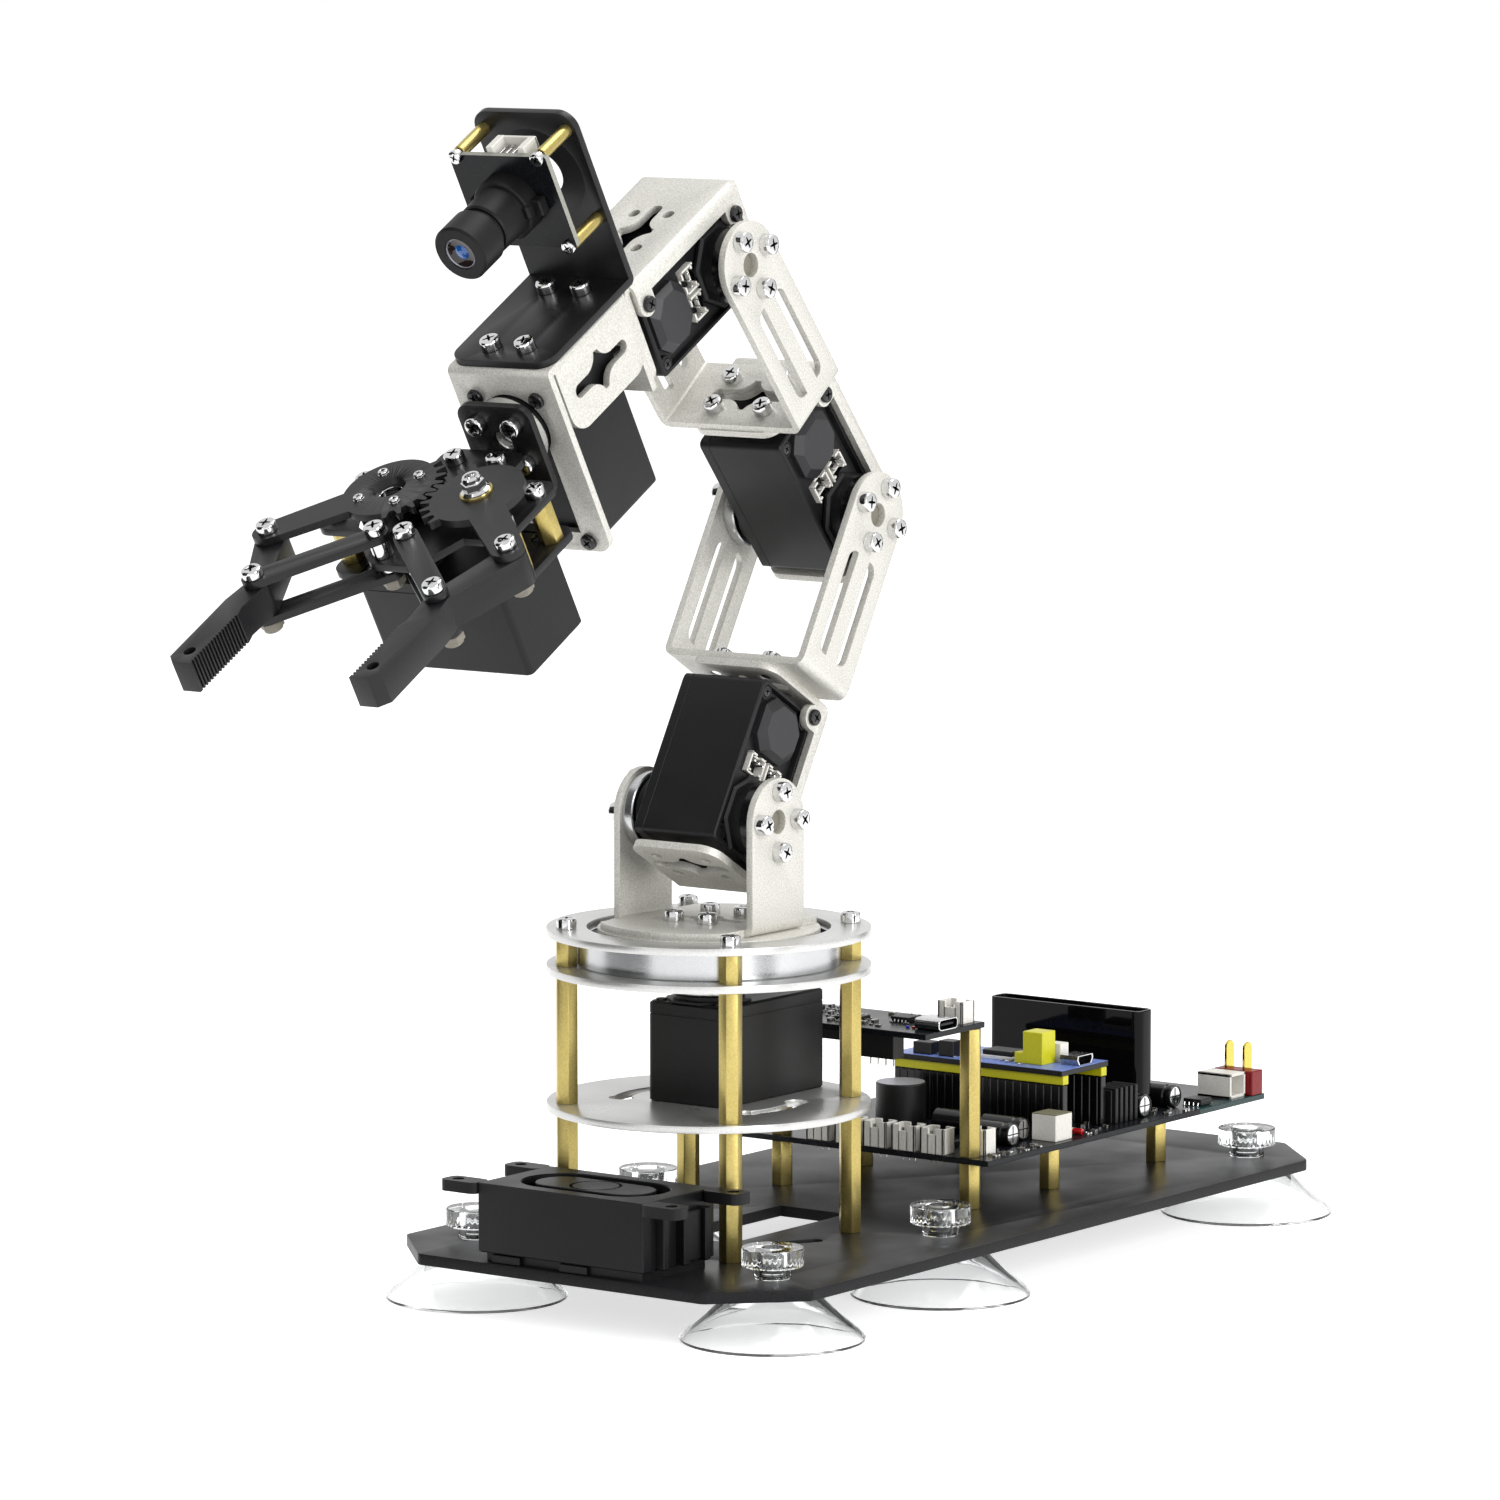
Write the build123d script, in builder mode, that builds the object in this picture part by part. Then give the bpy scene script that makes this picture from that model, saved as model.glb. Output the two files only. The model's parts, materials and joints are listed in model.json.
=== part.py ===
from build123d import *
from math import cos, radians, sin, sqrt
import os

os.makedirs("parts", exist_ok=True)

# The arm stands on six suction cups. X runs across the base, Y towards the back, Z up.
# Everything below is set out from the turning axis of the base, at the level of the cups' rims.
# Finished pieces move by AXIS_Y, so that the origin is under the middle of the arm's whole length.
AXIS_Y = -16.3

# Sheet metal, screws and fits
SHEET = 2.0
BEND_INSIDE = 0.8
BEND_OUTSIDE = BEND_INSIDE + SHEET
SCREW_R = 1.5
SCREW_HOLE_R = 1.65
HEAD_R = 2.7
HEAD_H = 2.2
SMALL_HEAD_R = 2.2
SMALL_HEAD_H = 1.3
PIN_CLEARANCE = 0.05
RUNNING_GAP = 0.3
HEX_FLATS = 5.4

# Base plate, cups and their nuts
CUP_H = 13.0
CUP_RIM_R = 24.1
CUP_NECK_R = 11.5
CUP_WALL = 1.0
CUP_LIP_H = 0.8
CUP_STEM_R = 3.0
CUP_HALF_X = 48.5
CUP_ROWS = (-38.0, 37.8, 188.9)
NUT_NECK_R = 4.9
NUT_NECK_H = 3.2
NUT_FLANGE_R = 8.1
NUT_FLANGE_H = 4.8
CUP_STEM_SHORT = 1.0
PLATE_T = 3.0
PLATE_HALF_X = 66.3
PLATE_FRONT = -65.6
PLATE_BACK = 212.7
PLATE_CORNER = 20.0
PLATE_EDGE = 3.0
WINDOW_HALF_X = 11.0
WINDOW_FRONT = -5.0
WINDOW_BACK = 47.5
PEANUT_X = 24.9
PEANUT_Y = 7.5
PEANUT_LENGTH = 12.0
PEANUT_WIDTH = 4.4
PEANUT_TURN = 60.0

# Disc tower
DISC_R = 43.0
DISC_T = 2.0
LOW_STANDOFF = 34.6
MID_STANDOFF = 34.65
TOP_STANDOFF = 7.85
STANDOFF_CIRCLE_R = 37.9
HUB_HOLE_R = 13.0
TOP_HOLE_R = 32.3
ARC_SLOT_R = 23.5
ARC_SLOT_ANGLE = 56.0
ARC_SLOT_WIDTH = 4.6
ARC_SLOT_END_R = 3.3
CAP_ROOM = 0.5
TURNTABLE_SUNK = 0.2

# Turntable bearing
RING_OUTER_R = 35.0
RING_OUTER_BORE = 31.8
RING_INNER_R = 29.0
RING_INNER_BORE = 25.5
BALL_R = 1.8
BALL_COUNT = 6
TURNTABLE_R = 29.5
HUB_R = 11.0
FOOT_MARGIN = 0.5

# Servo, the same in every joint
SERVO_TIP = 35.4
SERVO_BACK = 10.6
SERVO_HALF_W = 12.4
SERVO_HALF_H = 13.4
SERVO_EDGE = 1.2
BOSS_R = 9.5
BOSS_H = 3.8
LOW_BOSS_H = 2.0
HORN_R = 10.5
HORN_T = 3.2
HORN_BORE_R = 2.9
LUG_TIP = 34.2
LUG_BACK = 8.9
LUG_OUT = 9.8
CAP_FROM = 17.5
CAP_TO = 33.0
CAP_HALF_W = 8.4
CAP_CUT = 3.5
CAP_H = 1.7
CAP_TAPER = 40.0
SOCKET_FROM = 10.6
SOCKET_TO = 16.4
SOCKET_W = 7.2
SOCKET_DEPTH = 3.0
SOCKET_WALL = 0.8

# Arm sections
SHOULDER_ANGLE = 59.85
ELBOW_ANGLE = 129.7
WRIST_TILT = 30.0
SHOULDER_RISE = 29.5
LINK = 89.5
ARM_HALF_W = 11.5
HORN_SCREW_CIRCLE = 8.0
ARM_CENTRE_R = 3.2
ARM_SLOT_NEAR = 12.5
ARM_SLOT_FAR = 42.5
ARM_SLOT_HALF_W = 6.5
ARM_RIB_HALF_W = 2.75
ARM_SLOT_CORNER = 3.0
PATTERN_LONG = 16.0
PATTERN_SHORT = 11.0
STAR_LONG = 24.0
STAR_SHORT = 11.0
STAR_TIP = 3.8
STAR_NECK = 6.4
STAR_POINT = 0.9
STAR_CURVE_ALONG = 0.42
STAR_CURVE_ACROSS = 0.30

# Servo bracket
MAIN_PLATE_IN = 15.6
END_PLATE_GAP_BACK = 2.3
END_PLATE_GAP_TIP = 2.8
END_PLATE_HALF_X = 14.0
END_PLATE_DEPTH = 11.8
END_PLATE_CORNER = 5.0
FLANGE_LOW = 12.4
LUG_R = 3.3
MAIN_PATTERN_AT = 12.4

# Wrist roll unit
ROLL_AXIS_T = 1.0
ROLL_FACE = 77.0
ROLL_FRONT_HALF_X = 16.1
ROLL_FRONT_LOW = -36.3
ROLL_TOP = 18.2
ROLL_EAR_FROM = 42.2
ROLL_EAR_LOW = -3.0
ROLL_EAR_CORNER = 6.0
ROLL_EAR_STAR_T = 6.8
ROLL_WINDOW_HALF_X = 8.0
ROLL_WINDOW_LOW = -30.7
ROLL_FRONT_GAP = 0.3
ROLL_BEND = 1.8
ROLL_BEND_RUN = 2.0
BOSS_ROOM = 0.5

# Camera
CAMERA_PLATE_BACK = 36.5
CAMERA_PLATE_FRONT = 78.0
CAMERA_HALF_X = 16.0
CAMERA_TOP = 69.3
CAMERA_CORNER = 5.0
CAMERA_AXIS_T = 51.4
CAMERA_HOLE_R = 13.0
BOARD_HALF = 16.0
BOARD_FRONT = 52.0
BOARD_T = 1.6
BOARD_HOLE = 13.0
LENS_TIP = 77.0
CAMERA_SCREWS_S = (45.2, 72.0)
CAMERA_SCREWS_X = 5.5
CAMERA_PLUG_X = 2.0
CAMERA_PLUG_LENGTH = 13.0
CAMERA_PLUG_WIDTH = 5.0
CAMERA_PLUG_H = 6.0
CAMERA_PLUG_IN = 4.0
CAMERA_POST_FLATS = 4.4
CAMERA_HEAD_R = 1.9
CAMERA_HEAD_H = 1.2
LENS_MOUNT_R = 8.6
LENS_MOUNT_H = 5.0
LENS_BARREL_R = 7.2
LENS_BARREL_H = 14.0
LENS_NECK_R = 6.3
LENS_NECK_H = 16.0
LENS_FRONT_R = 7.7
LENS_MOUTH_R = 4.6
LENS_GLASS_R = 3.2
LENS_SUNK = 1.5

# Gripper
GEAR_S = 115.9
GEAR_X = 14.0
GEAR_TEETH = 24
GEAR_FIRST = -4
GEAR_LAST = 4
GEAR_ROOT_R = 12.5
GEAR_TIP_R = 15.1
GEAR_LOW = 4.6
BAR_T = 2.0
CRANK_HUB_R = 5.35
CRANK_END_R = 4.25
CRANK_SPAN_X = 24.0
CRANK_SPAN_S = 21.6
LINK_BASE_X = 4.7
LINK_BASE_S = 135.4
LINK_END_R = 3.25
FINGER_LOW = -4.1
FINGER_HIGH = 4.4
LOWER_BAR_TOP = -4.3
BASE_TOP = 0.0
LOWER_BASE_TOP = -13.4
GRIP_PLATE_MID_X = -3.5
GRIP_PLATE_HALF_X = 30.5
GRIP_PLATE_FROM = 100.0
GRIP_PLATE_TO = 126.5
GRIP_PLATE_CORNER = 4.0
GRIP_TONGUE_HALF_X = 13.0
GRIP_TONGUE_FROM = 88.5
GRIP_STANDOFF_STEP_X = 54.0
GRIP_STANDOFF_STEP_S = 14.0
MOUNT_HALF_X = 11.5
MOUNT_TOP = 12.0
MOUNT_CORNER = 4.0
FINGER_OUT_X = 33.4
FINGER_IN_X = 25.2
FINGER_TIP_S = 191.6
FINGER_CHAMFER = 2.6
GRIP_FROM_S = 170.0
GRIP_TOOTH = 1.2
GRIP_TOOTH_DEPTH = 0.6
FINGER_HOLE_R = 1.6
FINGER_HOLE_X = 29.0
FINGER_HOLE_S = 186.3
MOUNT_SCREW_STEP = 5.66
MOUNT_FOOT_RUN = 6.0
TONGUE_SCREWS_IN = 5.5
TONGUE_SCREWS_X = 6.75
NOSE_CORNER_IN = 5.0
NOSE_CORNER_X = 12.0
NUT_H = 3.0
HEAD_SUNK = 0.3
GEAR_TOOTH_SUNK = 0.3
GEAR_ROOT_TURN = 5.0
GEAR_TIP_TURN = 1.6
GEAR_HOLE_R = 4.5
GEAR_HUB_R = 9.5
FINGER_STEP_IN = 3.0
FINGER_STEP_X = 1.0
FINGER_SHOULDER_RUN = 4.0
FINGER_HEEL = 1.0

# Speaker
SPEAKER_HALF_X = 27.0
SPEAKER_FRONT = -65.0
SPEAKER_BACK = -34.0
SPEAKER_H = 20.8
SPEAKER_FOOT_H = 2.6
SPEAKER_FOOT_IN = 1.6
EAR_HALF_X = 38.5
EAR_T = 3.0
EAR_HOLE_X = 34.7
OVAL_LONG = 43.0
OVAL_SHORT = 22.0
OVAL_DEPTH = 2.0
EAR_WIDTH = 7.0
EAR_CORNER = 2.0
FRONT_EAR_IN = 2.0
BACK_EAR_IN = 2.5
CONE_GAP = 0.5
CONE_RIM = 2.0
CONE_H = 1.6
CONE_OUT_R = 8.0
CONE_IN_R = 6.0

# Electronics: places on the main board are x from the turning axis and y from the board's near edge
BOARD_LEFT = -44.0
BOARD_RIGHT = 41.0
BOARD_NEAR = 71.0
BOARD_LENGTH = 139.0
BOARD_Z = 28.5
BOARD_POSTS_X = (-30.0, 32.7)
BOARD_POSTS_Y = (3.5, 42.1, 95.5)
UPPER_BOARD_Z = 65.2
UPPER_MID_X = -0.5
UPPER_MID_IN = -7.0
UPPER_LENGTH = 71.0
UPPER_WIDTH = 28.0
USB_SIZE = (8.0, 9.0, 3.2)
USB_SIDE = 4.0
UPPER_PLUG_SIZE = (8.0, 6.0, 6.0)
UPPER_PLUG_END = 2.0
UPPER_PLUG_SIDE = 9.0
CORE_Z = 46.4
CORE_MID_X = 5.5
CORE_MID_IN = 57.5
CORE_LENGTH = 57.0
CORE_WIDTH = 23.0
HEADER_STEP = 19.0
HEADER_WIDTH = 2.6
CORE_BLOCK_SIZE = (6.5, 6.5, 9.0)
CORE_BLOCK_SPOT = (15.5, -3.5)
CORE_USB_SIZE = (6.0, 8.0, 2.8)
CORE_USB_SPOT = (24.5, 1.5)
SERVO_SOCKETS = 6
SERVO_SOCKET_STEP = 9.5
SERVO_SOCKET_RIGHT = 31.5
SERVO_SOCKET_IN = 3.5
CORNER_SOCKET_IN = 9.5
SERVO_SOCKET_SIZE = (7.8, 5.8, 7.0)
CAN_R = 3.2
CAN_LENGTH = 13.0
CAN_SPOTS = ((23.8, 33.0), (8.0, 33.0), (26.5, 24.0), (29.5, 84.9), (27.5, 103.4))
COIL_SPOT = (-13.0, 36.0)
COIL_R = 7.0
COIL_H = 12.0
RELAY_SPOT = (35.0, 39.7)
RELAY_SIZE = (8.0, 8.0, 7.5)
HEAT_SINK_SPOT = (32.0, 75.5)
HEAT_SINK_SIZE = (8.0, 12.0, 10.0)
CHIP_SPOT = (36.0, 111.7)
CHIP_SIZE = (7.0, 7.0, 2.0)
TERMINAL_SPOT = (33.5, 128.0)
TERMINAL_SIZE = (11.0, 8.0, 7.0)
POWER_SPOT = (34.5, 135.2)
POWER_SIZE = (13.0, 5.6, 7.0)
BLADE_SIZE = (0.8, 4.0, 8.0)
BLADE_HALF_STEP = 3.0
MODULE_SPOT = (5.5, 93.0)
MODULE_LENGTH = 51.0
MODULE_WIDTH = 8.0
MODULE_H = 28.6
MODULE_CORNER = 2.5


def link_frame(y, z, angle):
    """Frame of an arm section: x along it, y towards its back, z towards the horn side."""
    along = (0, cos(radians(angle)), sin(radians(angle)))
    return Plane(origin=(0, y, z), x_dir=along, z_dir=(-1, 0, 0))


def across(frame, distance):
    """Plane square across a section at a distance along it: x to the right, y to its back."""
    origin = frame.from_local_coords((distance, 0, 0))
    return Plane(origin=origin, x_dir=-frame.z_dir, z_dir=frame.x_dir)


def lying(frame, height):
    """Plane along a section at a height towards its back: x along it, y to the right."""
    origin = frame.from_local_coords((0, height, 0))
    return Plane(origin=origin, x_dir=frame.x_dir, z_dir=frame.y_dir)


def keep(part, label):
    """Move a finished piece from the turning axis to the frame, label it and write it."""
    placed = part.moved(Location((0, AXIS_Y, 0)))
    placed.label = label
    export_step(placed, f"parts/{label}.step")


def rectangle_spots(long_step, short_step):
    """The four corners of a hole pattern about its centre."""
    x = long_step / 2
    y = short_step / 2
    return [(x, y), (x, -y), (-x, y), (-x, -y)]


def cut_holes(plane, spots, depth, radius=SCREW_HOLE_R):
    """Cut round holes down from a plane."""
    with BuildSketch(plane) as holes:
        with Locations(*spots):
            Circle(radius)
    extrude(holes.sketch, amount=-depth, mode=Mode.SUBTRACT)


def add_screws(plane, spots, shank, head_r=HEAD_R, head_h=HEAD_H):
    """Cheese-head screws: heads stand on the plane, shanks go down from it."""
    with BuildSketch(plane) as heads:
        with Locations(*spots):
            Circle(head_r)
    extrude(heads.sketch, amount=head_h)
    with BuildSketch(plane) as shanks:
        with Locations(*spots):
            Circle(SCREW_R)
    extrude(shanks.sketch, amount=-shank)


def star_face():
    """Four-pointed cut-out with its long axis along x, rounded at the ends of the long points."""
    half_long = STAR_LONG / 2
    half_short = STAR_SHORT / 2
    half_tip = STAR_TIP / 2
    inward = (STAR_NECK * STAR_CURVE_ALONG, half_tip + (half_short - half_tip) * STAR_CURVE_ACROSS)
    with BuildSketch() as star:
        with BuildLine():
            Polyline(
                (0, 0), (half_long - half_tip, 0), (half_long - half_tip, half_tip), (STAR_NECK, half_tip)
            )
            ThreePointArc((STAR_NECK, half_tip), inward, (STAR_POINT, half_short))
            Polyline((STAR_POINT, half_short), (0, half_short), (0, 0))
        make_face()
        mirror(about=Plane.XZ)
        mirror(about=Plane.YZ)
        with Locations((half_long - half_tip, 0), (half_tip - half_long, 0)):
            Circle(half_tip)
    return star.sketch


STAR = star_face()


def cut_star(plane, centre, turned, depth):
    """Cut the star down from a plane, turned so that its long axis lies along x or y."""
    with BuildSketch(plane) as opening:
        with Locations(Location(centre, turned)):
            add(STAR)
    extrude(opening.sketch, amount=-depth, mode=Mode.SUBTRACT)


# Heights and places that follow from the sizes
PLATE_TOP = CUP_H + PLATE_T
LOW_DISC_Z = PLATE_TOP + LOW_STANDOFF
MID_DISC_Z = LOW_DISC_Z + DISC_T + MID_STANDOFF
TOP_DISC_Z = MID_DISC_Z + DISC_T + TOP_STANDOFF
TURNTABLE_TOP = TOP_DISC_Z + DISC_T - TURNTABLE_SUNK
TURNTABLE_Z = TURNTABLE_TOP - SHEET
SHOULDER_Z = TURNTABLE_TOP + SHOULDER_RISE
ARM_IN = SERVO_HALF_H + BOSS_H + RUNNING_GAP + HORN_T
ARM_OUT = ARM_IN + SHEET
END_PLATE_BACK = SERVO_BACK + END_PLATE_GAP_BACK
END_PLATE_TIP = SERVO_TIP + END_PLATE_GAP_TIP
LINK_BASE_AT = END_PLATE_TIP + SHEET
MAIN_PLATE_OUT = MAIN_PLATE_IN + SHEET
ELBOW_Y = LINK * cos(radians(SHOULDER_ANGLE))
ELBOW_Z = SHOULDER_Z + LINK * sin(radians(SHOULDER_ANGLE))
WRIST_Y = ELBOW_Y + LINK * cos(radians(ELBOW_ANGLE))
WRIST_Z = ELBOW_Z + LINK * sin(radians(ELBOW_ANGLE))

SHOULDER = link_frame(0, SHOULDER_Z, SHOULDER_ANGLE)
ELBOW = link_frame(ELBOW_Y, ELBOW_Z, ELBOW_ANGLE)
WRIST = link_frame(WRIST_Y, WRIST_Z, 180 + WRIST_TILT)


# Base plate
CUP_SPOTS = [(side * CUP_HALF_X, row) for side in (-1, 1) for row in CUP_ROWS]
STEM_TOP = PLATE_TOP + NUT_NECK_H + NUT_FLANGE_H - CUP_STEM_SHORT

with BuildPart() as base_plate:
    with BuildSketch(Plane.XY.offset(CUP_H)):
        with Locations((0, (PLATE_FRONT + PLATE_BACK) / 2)):
            Rectangle(2 * PLATE_HALF_X, PLATE_BACK - PLATE_FRONT)
        chamfer(vertices(), PLATE_CORNER)
        fillet(vertices(), PLATE_EDGE)
        with Locations((0, (WINDOW_FRONT + WINDOW_BACK) / 2)):
            Rectangle(2 * WINDOW_HALF_X, WINDOW_BACK - WINDOW_FRONT, mode=Mode.SUBTRACT)
        with Locations(*CUP_SPOTS):
            Circle(CUP_STEM_R + PIN_CLEARANCE, mode=Mode.SUBTRACT)
        with Locations((PEANUT_X, PEANUT_Y), (-PEANUT_X, PEANUT_Y)):
            SlotOverall(PEANUT_LENGTH, PEANUT_WIDTH, rotation=PEANUT_TURN, mode=Mode.SUBTRACT)
        with PolarLocations(STANDOFF_CIRCLE_R, 4, start_angle=45):
            Circle(SCREW_HOLE_R, mode=Mode.SUBTRACT)
    extrude(amount=PLATE_T)
keep(base_plate.part, "base_plate")

with BuildPart() as suction_cups:
    with BuildSketch(Plane.XZ):
        with BuildLine():
            Polyline(
                (0, STEM_TOP),
                (0, CUP_H - 2 * CUP_WALL),
                (CUP_NECK_R - CUP_WALL, CUP_H - 2 * CUP_WALL),
                (CUP_RIM_R - CUP_WALL, 0),
                (CUP_RIM_R, 0),
                (CUP_RIM_R, CUP_LIP_H),
                (CUP_NECK_R, CUP_H),
                (CUP_STEM_R, CUP_H),
                (CUP_STEM_R, STEM_TOP),
                close=True,
            )
        make_face()
    revolve(axis=Axis.Z)
    cup = suction_cups.part
with BuildPart() as cup_set:
    with Locations(*[(x, y, 0) for x, y in CUP_SPOTS]):
        add(cup)
keep(cup_set.part, "suction_cups")

with BuildPart() as cup_nuts:
    with BuildSketch(Plane.XY.offset(PLATE_TOP)):
        with Locations(*CUP_SPOTS):
            Circle(NUT_NECK_R)
    extrude(amount=NUT_NECK_H)
    with BuildSketch(Plane.XY.offset(PLATE_TOP + NUT_NECK_H)):
        with Locations(*CUP_SPOTS):
            Circle(NUT_FLANGE_R)
    extrude(amount=NUT_FLANGE_H)
    cut_holes(
        Plane.XY.offset(PLATE_TOP + NUT_NECK_H + NUT_FLANGE_H),
        CUP_SPOTS,
        NUT_NECK_H + NUT_FLANGE_H,
        CUP_STEM_R + PIN_CLEARANCE,
    )
keep(cup_nuts.part, "cup_nuts")


# Disc tower
def disc_sketch(height):
    """A tower disc's outline with its four standoff holes, still a sketch."""
    with BuildSketch(Plane.XY.offset(height)) as disc:
        Circle(DISC_R)
        with PolarLocations(STANDOFF_CIRCLE_R, 4, start_angle=45):
            Circle(SCREW_HOLE_R, mode=Mode.SUBTRACT)
    return disc.sketch


with BuildPart() as lower_disc:
    extrude(disc_sketch(LOW_DISC_Z), amount=DISC_T)
    with BuildSketch(Plane.XY.offset(LOW_DISC_Z)):
        for middle in (0, 180):
            SlotArc(
                CenterArc((0, 0), ARC_SLOT_R, middle - ARC_SLOT_ANGLE / 2, ARC_SLOT_ANGLE),
                ARC_SLOT_WIDTH,
            )
        for turn in (-ARC_SLOT_ANGLE / 2, ARC_SLOT_ANGLE / 2):
            with PolarLocations(ARC_SLOT_R, 2, start_angle=turn):
                Circle(ARC_SLOT_END_R)
        with Locations((0, (SOCKET_FROM + CAP_TO) / 2)):
            Rectangle(2 * (CAP_HALF_W + CAP_ROOM), CAP_TO - SOCKET_FROM + 2 * CAP_ROOM)
    extrude(amount=DISC_T, mode=Mode.SUBTRACT)
keep(lower_disc.part, "lower_disc")

with BuildPart() as middle_disc:
    extrude(disc_sketch(MID_DISC_Z), amount=DISC_T)
    with BuildSketch(Plane.XY.offset(MID_DISC_Z)):
        Circle(HUB_HOLE_R)
    extrude(amount=DISC_T, mode=Mode.SUBTRACT)
keep(middle_disc.part, "middle_disc")

with BuildPart() as top_disc:
    extrude(disc_sketch(TOP_DISC_Z), amount=DISC_T)
    with BuildSketch(Plane.XY.offset(TOP_DISC_Z)):
        Circle(TOP_HOLE_R)
    extrude(amount=DISC_T, mode=Mode.SUBTRACT)
keep(top_disc.part, "top_disc")

with BuildPart() as disc_standoffs:
    for foot, length in (
        (PLATE_TOP, LOW_STANDOFF),
        (LOW_DISC_Z + DISC_T, MID_STANDOFF),
        (MID_DISC_Z + DISC_T, TOP_STANDOFF),
    ):
        with BuildSketch(Plane.XY.offset(foot)):
            with PolarLocations(STANDOFF_CIRCLE_R, 4, start_angle=45):
                RegularPolygon(HEX_FLATS / 2, 6, major_radius=False, rotation=30)
        extrude(amount=length)
keep(disc_standoffs.part, "disc_standoffs")

DISC_SPOTS = [
    (x * STANDOFF_CIRCLE_R / sqrt(2), y * STANDOFF_CIRCLE_R / sqrt(2)) for x in (-1, 1) for y in (-1, 1)
]
with BuildPart() as disc_screws:
    add_screws(Plane.XY.offset(TOP_DISC_Z + DISC_T), DISC_SPOTS, DISC_T)
    add_screws(Plane.XY.offset(CUP_H).rotated((180, 0, 0)), DISC_SPOTS, PLATE_T)
keep(disc_screws.part, "disc_screws")


# Turntable bearing
BALL_PITCH_R = (RING_OUTER_BORE + RING_INNER_R) / 2
RING_Z = MID_DISC_Z + DISC_T
BALL_Z = RING_Z + TOP_STANDOFF / 2
GROOVE_R = BALL_R + PIN_CLEARANCE


def bearing_ring(inner, outer, bottom, top):
    """A ring with a ball groove in the wall that faces the balls."""
    with BuildPart() as ring:
        with BuildSketch(Plane.XZ):
            with Locations(((inner + outer) / 2, (bottom + top) / 2)):
                Rectangle(outer - inner, top - bottom)
            with Locations((BALL_PITCH_R, BALL_Z)):
                Circle(GROOVE_R, mode=Mode.SUBTRACT)
        revolve(axis=Axis.Z)
    return ring.part


keep(bearing_ring(RING_OUTER_BORE, RING_OUTER_R, RING_Z, TOP_DISC_Z), "bearing_outer_ring")
keep(bearing_ring(RING_INNER_BORE, RING_INNER_R, RING_Z + RUNNING_GAP, TURNTABLE_Z), "bearing_inner_ring")

with BuildPart() as bearing_balls:
    with Locations(Location((0, 0, BALL_Z))):
        with PolarLocations(BALL_PITCH_R, BALL_COUNT):
            Sphere(BALL_R)
keep(bearing_balls.part, "bearing_balls")


# Servo
def servo(frame, front_boss, back_boss):
    """A servo about the middle of its case: x to its far end, z out of its shaft."""
    with BuildPart() as case:
        with BuildSketch(frame.offset(-SERVO_HALF_H)):
            with Locations(((SERVO_TIP - SERVO_BACK) / 2, 0)):
                RectangleRounded(SERVO_TIP + SERVO_BACK, 2 * SERVO_HALF_W, SERVO_EDGE)
        extrude(amount=2 * SERVO_HALF_H)
        with BuildSketch(frame.offset(-SERVO_HALF_H)):
            with Locations(((SOCKET_FROM + SOCKET_TO) / 2, 0)):
                Rectangle(SOCKET_TO - SOCKET_FROM, 2 * SOCKET_W + SOCKET_WALL)
        extrude(amount=SOCKET_DEPTH, mode=Mode.SUBTRACT)
        with BuildSketch(frame.offset(-SERVO_HALF_H)) as cap:
            with Locations(((CAP_FROM + CAP_TO) / 2, 0)):
                Rectangle(CAP_TO - CAP_FROM, 2 * CAP_HALF_W)
            chamfer(cap.vertices(), CAP_CUT)
        extrude(amount=-CAP_H, taper=CAP_TAPER)
        if front_boss:
            with BuildSketch(frame.offset(SERVO_HALF_H)):
                Circle(BOSS_R)
            extrude(amount=front_boss)
        if back_boss:
            with BuildSketch(frame.offset(-SERVO_HALF_H)):
                Circle(BOSS_R)
            extrude(amount=-back_boss)
        with BuildSketch(frame.offset(SOCKET_DEPTH - SERVO_HALF_H)) as sockets:
            with Locations(*socket_spots()):
                Rectangle(SOCKET_TO - SOCKET_FROM, SOCKET_W)
            with Locations(*socket_spots()):
                Rectangle(
                    SOCKET_TO - SOCKET_FROM - 2 * SOCKET_WALL, SOCKET_W - 2 * SOCKET_WALL, mode=Mode.SUBTRACT
                )
        extrude(amount=-SOCKET_DEPTH)
    return case.part


def socket_spots():
    """Centres of the two cable sockets in a servo's back."""
    middle = (SOCKET_FROM + SOCKET_TO) / 2
    step = (SOCKET_W + SOCKET_WALL) / 2
    return [(middle, -step), (middle, step)]


def horn(plane, thickness=HORN_T):
    """The round disc that a servo's shaft or back boss carries."""
    with BuildPart() as disc:
        with BuildSketch(plane):
            Circle(HORN_R)
            Circle(HORN_BORE_R, mode=Mode.SUBTRACT)
        extrude(amount=thickness)
    return disc.part


BASE_SERVO_Z = LOW_DISC_Z + DISC_T + SERVO_HALF_H
BASE_SERVO_FRAME = Plane(origin=(0, 0, BASE_SERVO_Z), x_dir=(0, 1, 0), z_dir=(0, 0, 1))
BASE_HORN_Z = BASE_SERVO_Z + SERVO_HALF_H + LOW_BOSS_H + RUNNING_GAP

keep(servo(BASE_SERVO_FRAME, LOW_BOSS_H, 0), "base_servo")


# Turntable
with BuildPart() as turntable_hub:
    add(horn(Plane.XY.offset(BASE_HORN_Z)))
    with BuildSketch(Plane.XY.offset(BASE_HORN_Z + HORN_T)):
        Circle(HUB_R)
        Circle(HORN_BORE_R, mode=Mode.SUBTRACT)
    extrude(amount=TURNTABLE_Z - BASE_HORN_Z - HORN_T)
keep(turntable_hub.part, "turntable_hub")

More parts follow.
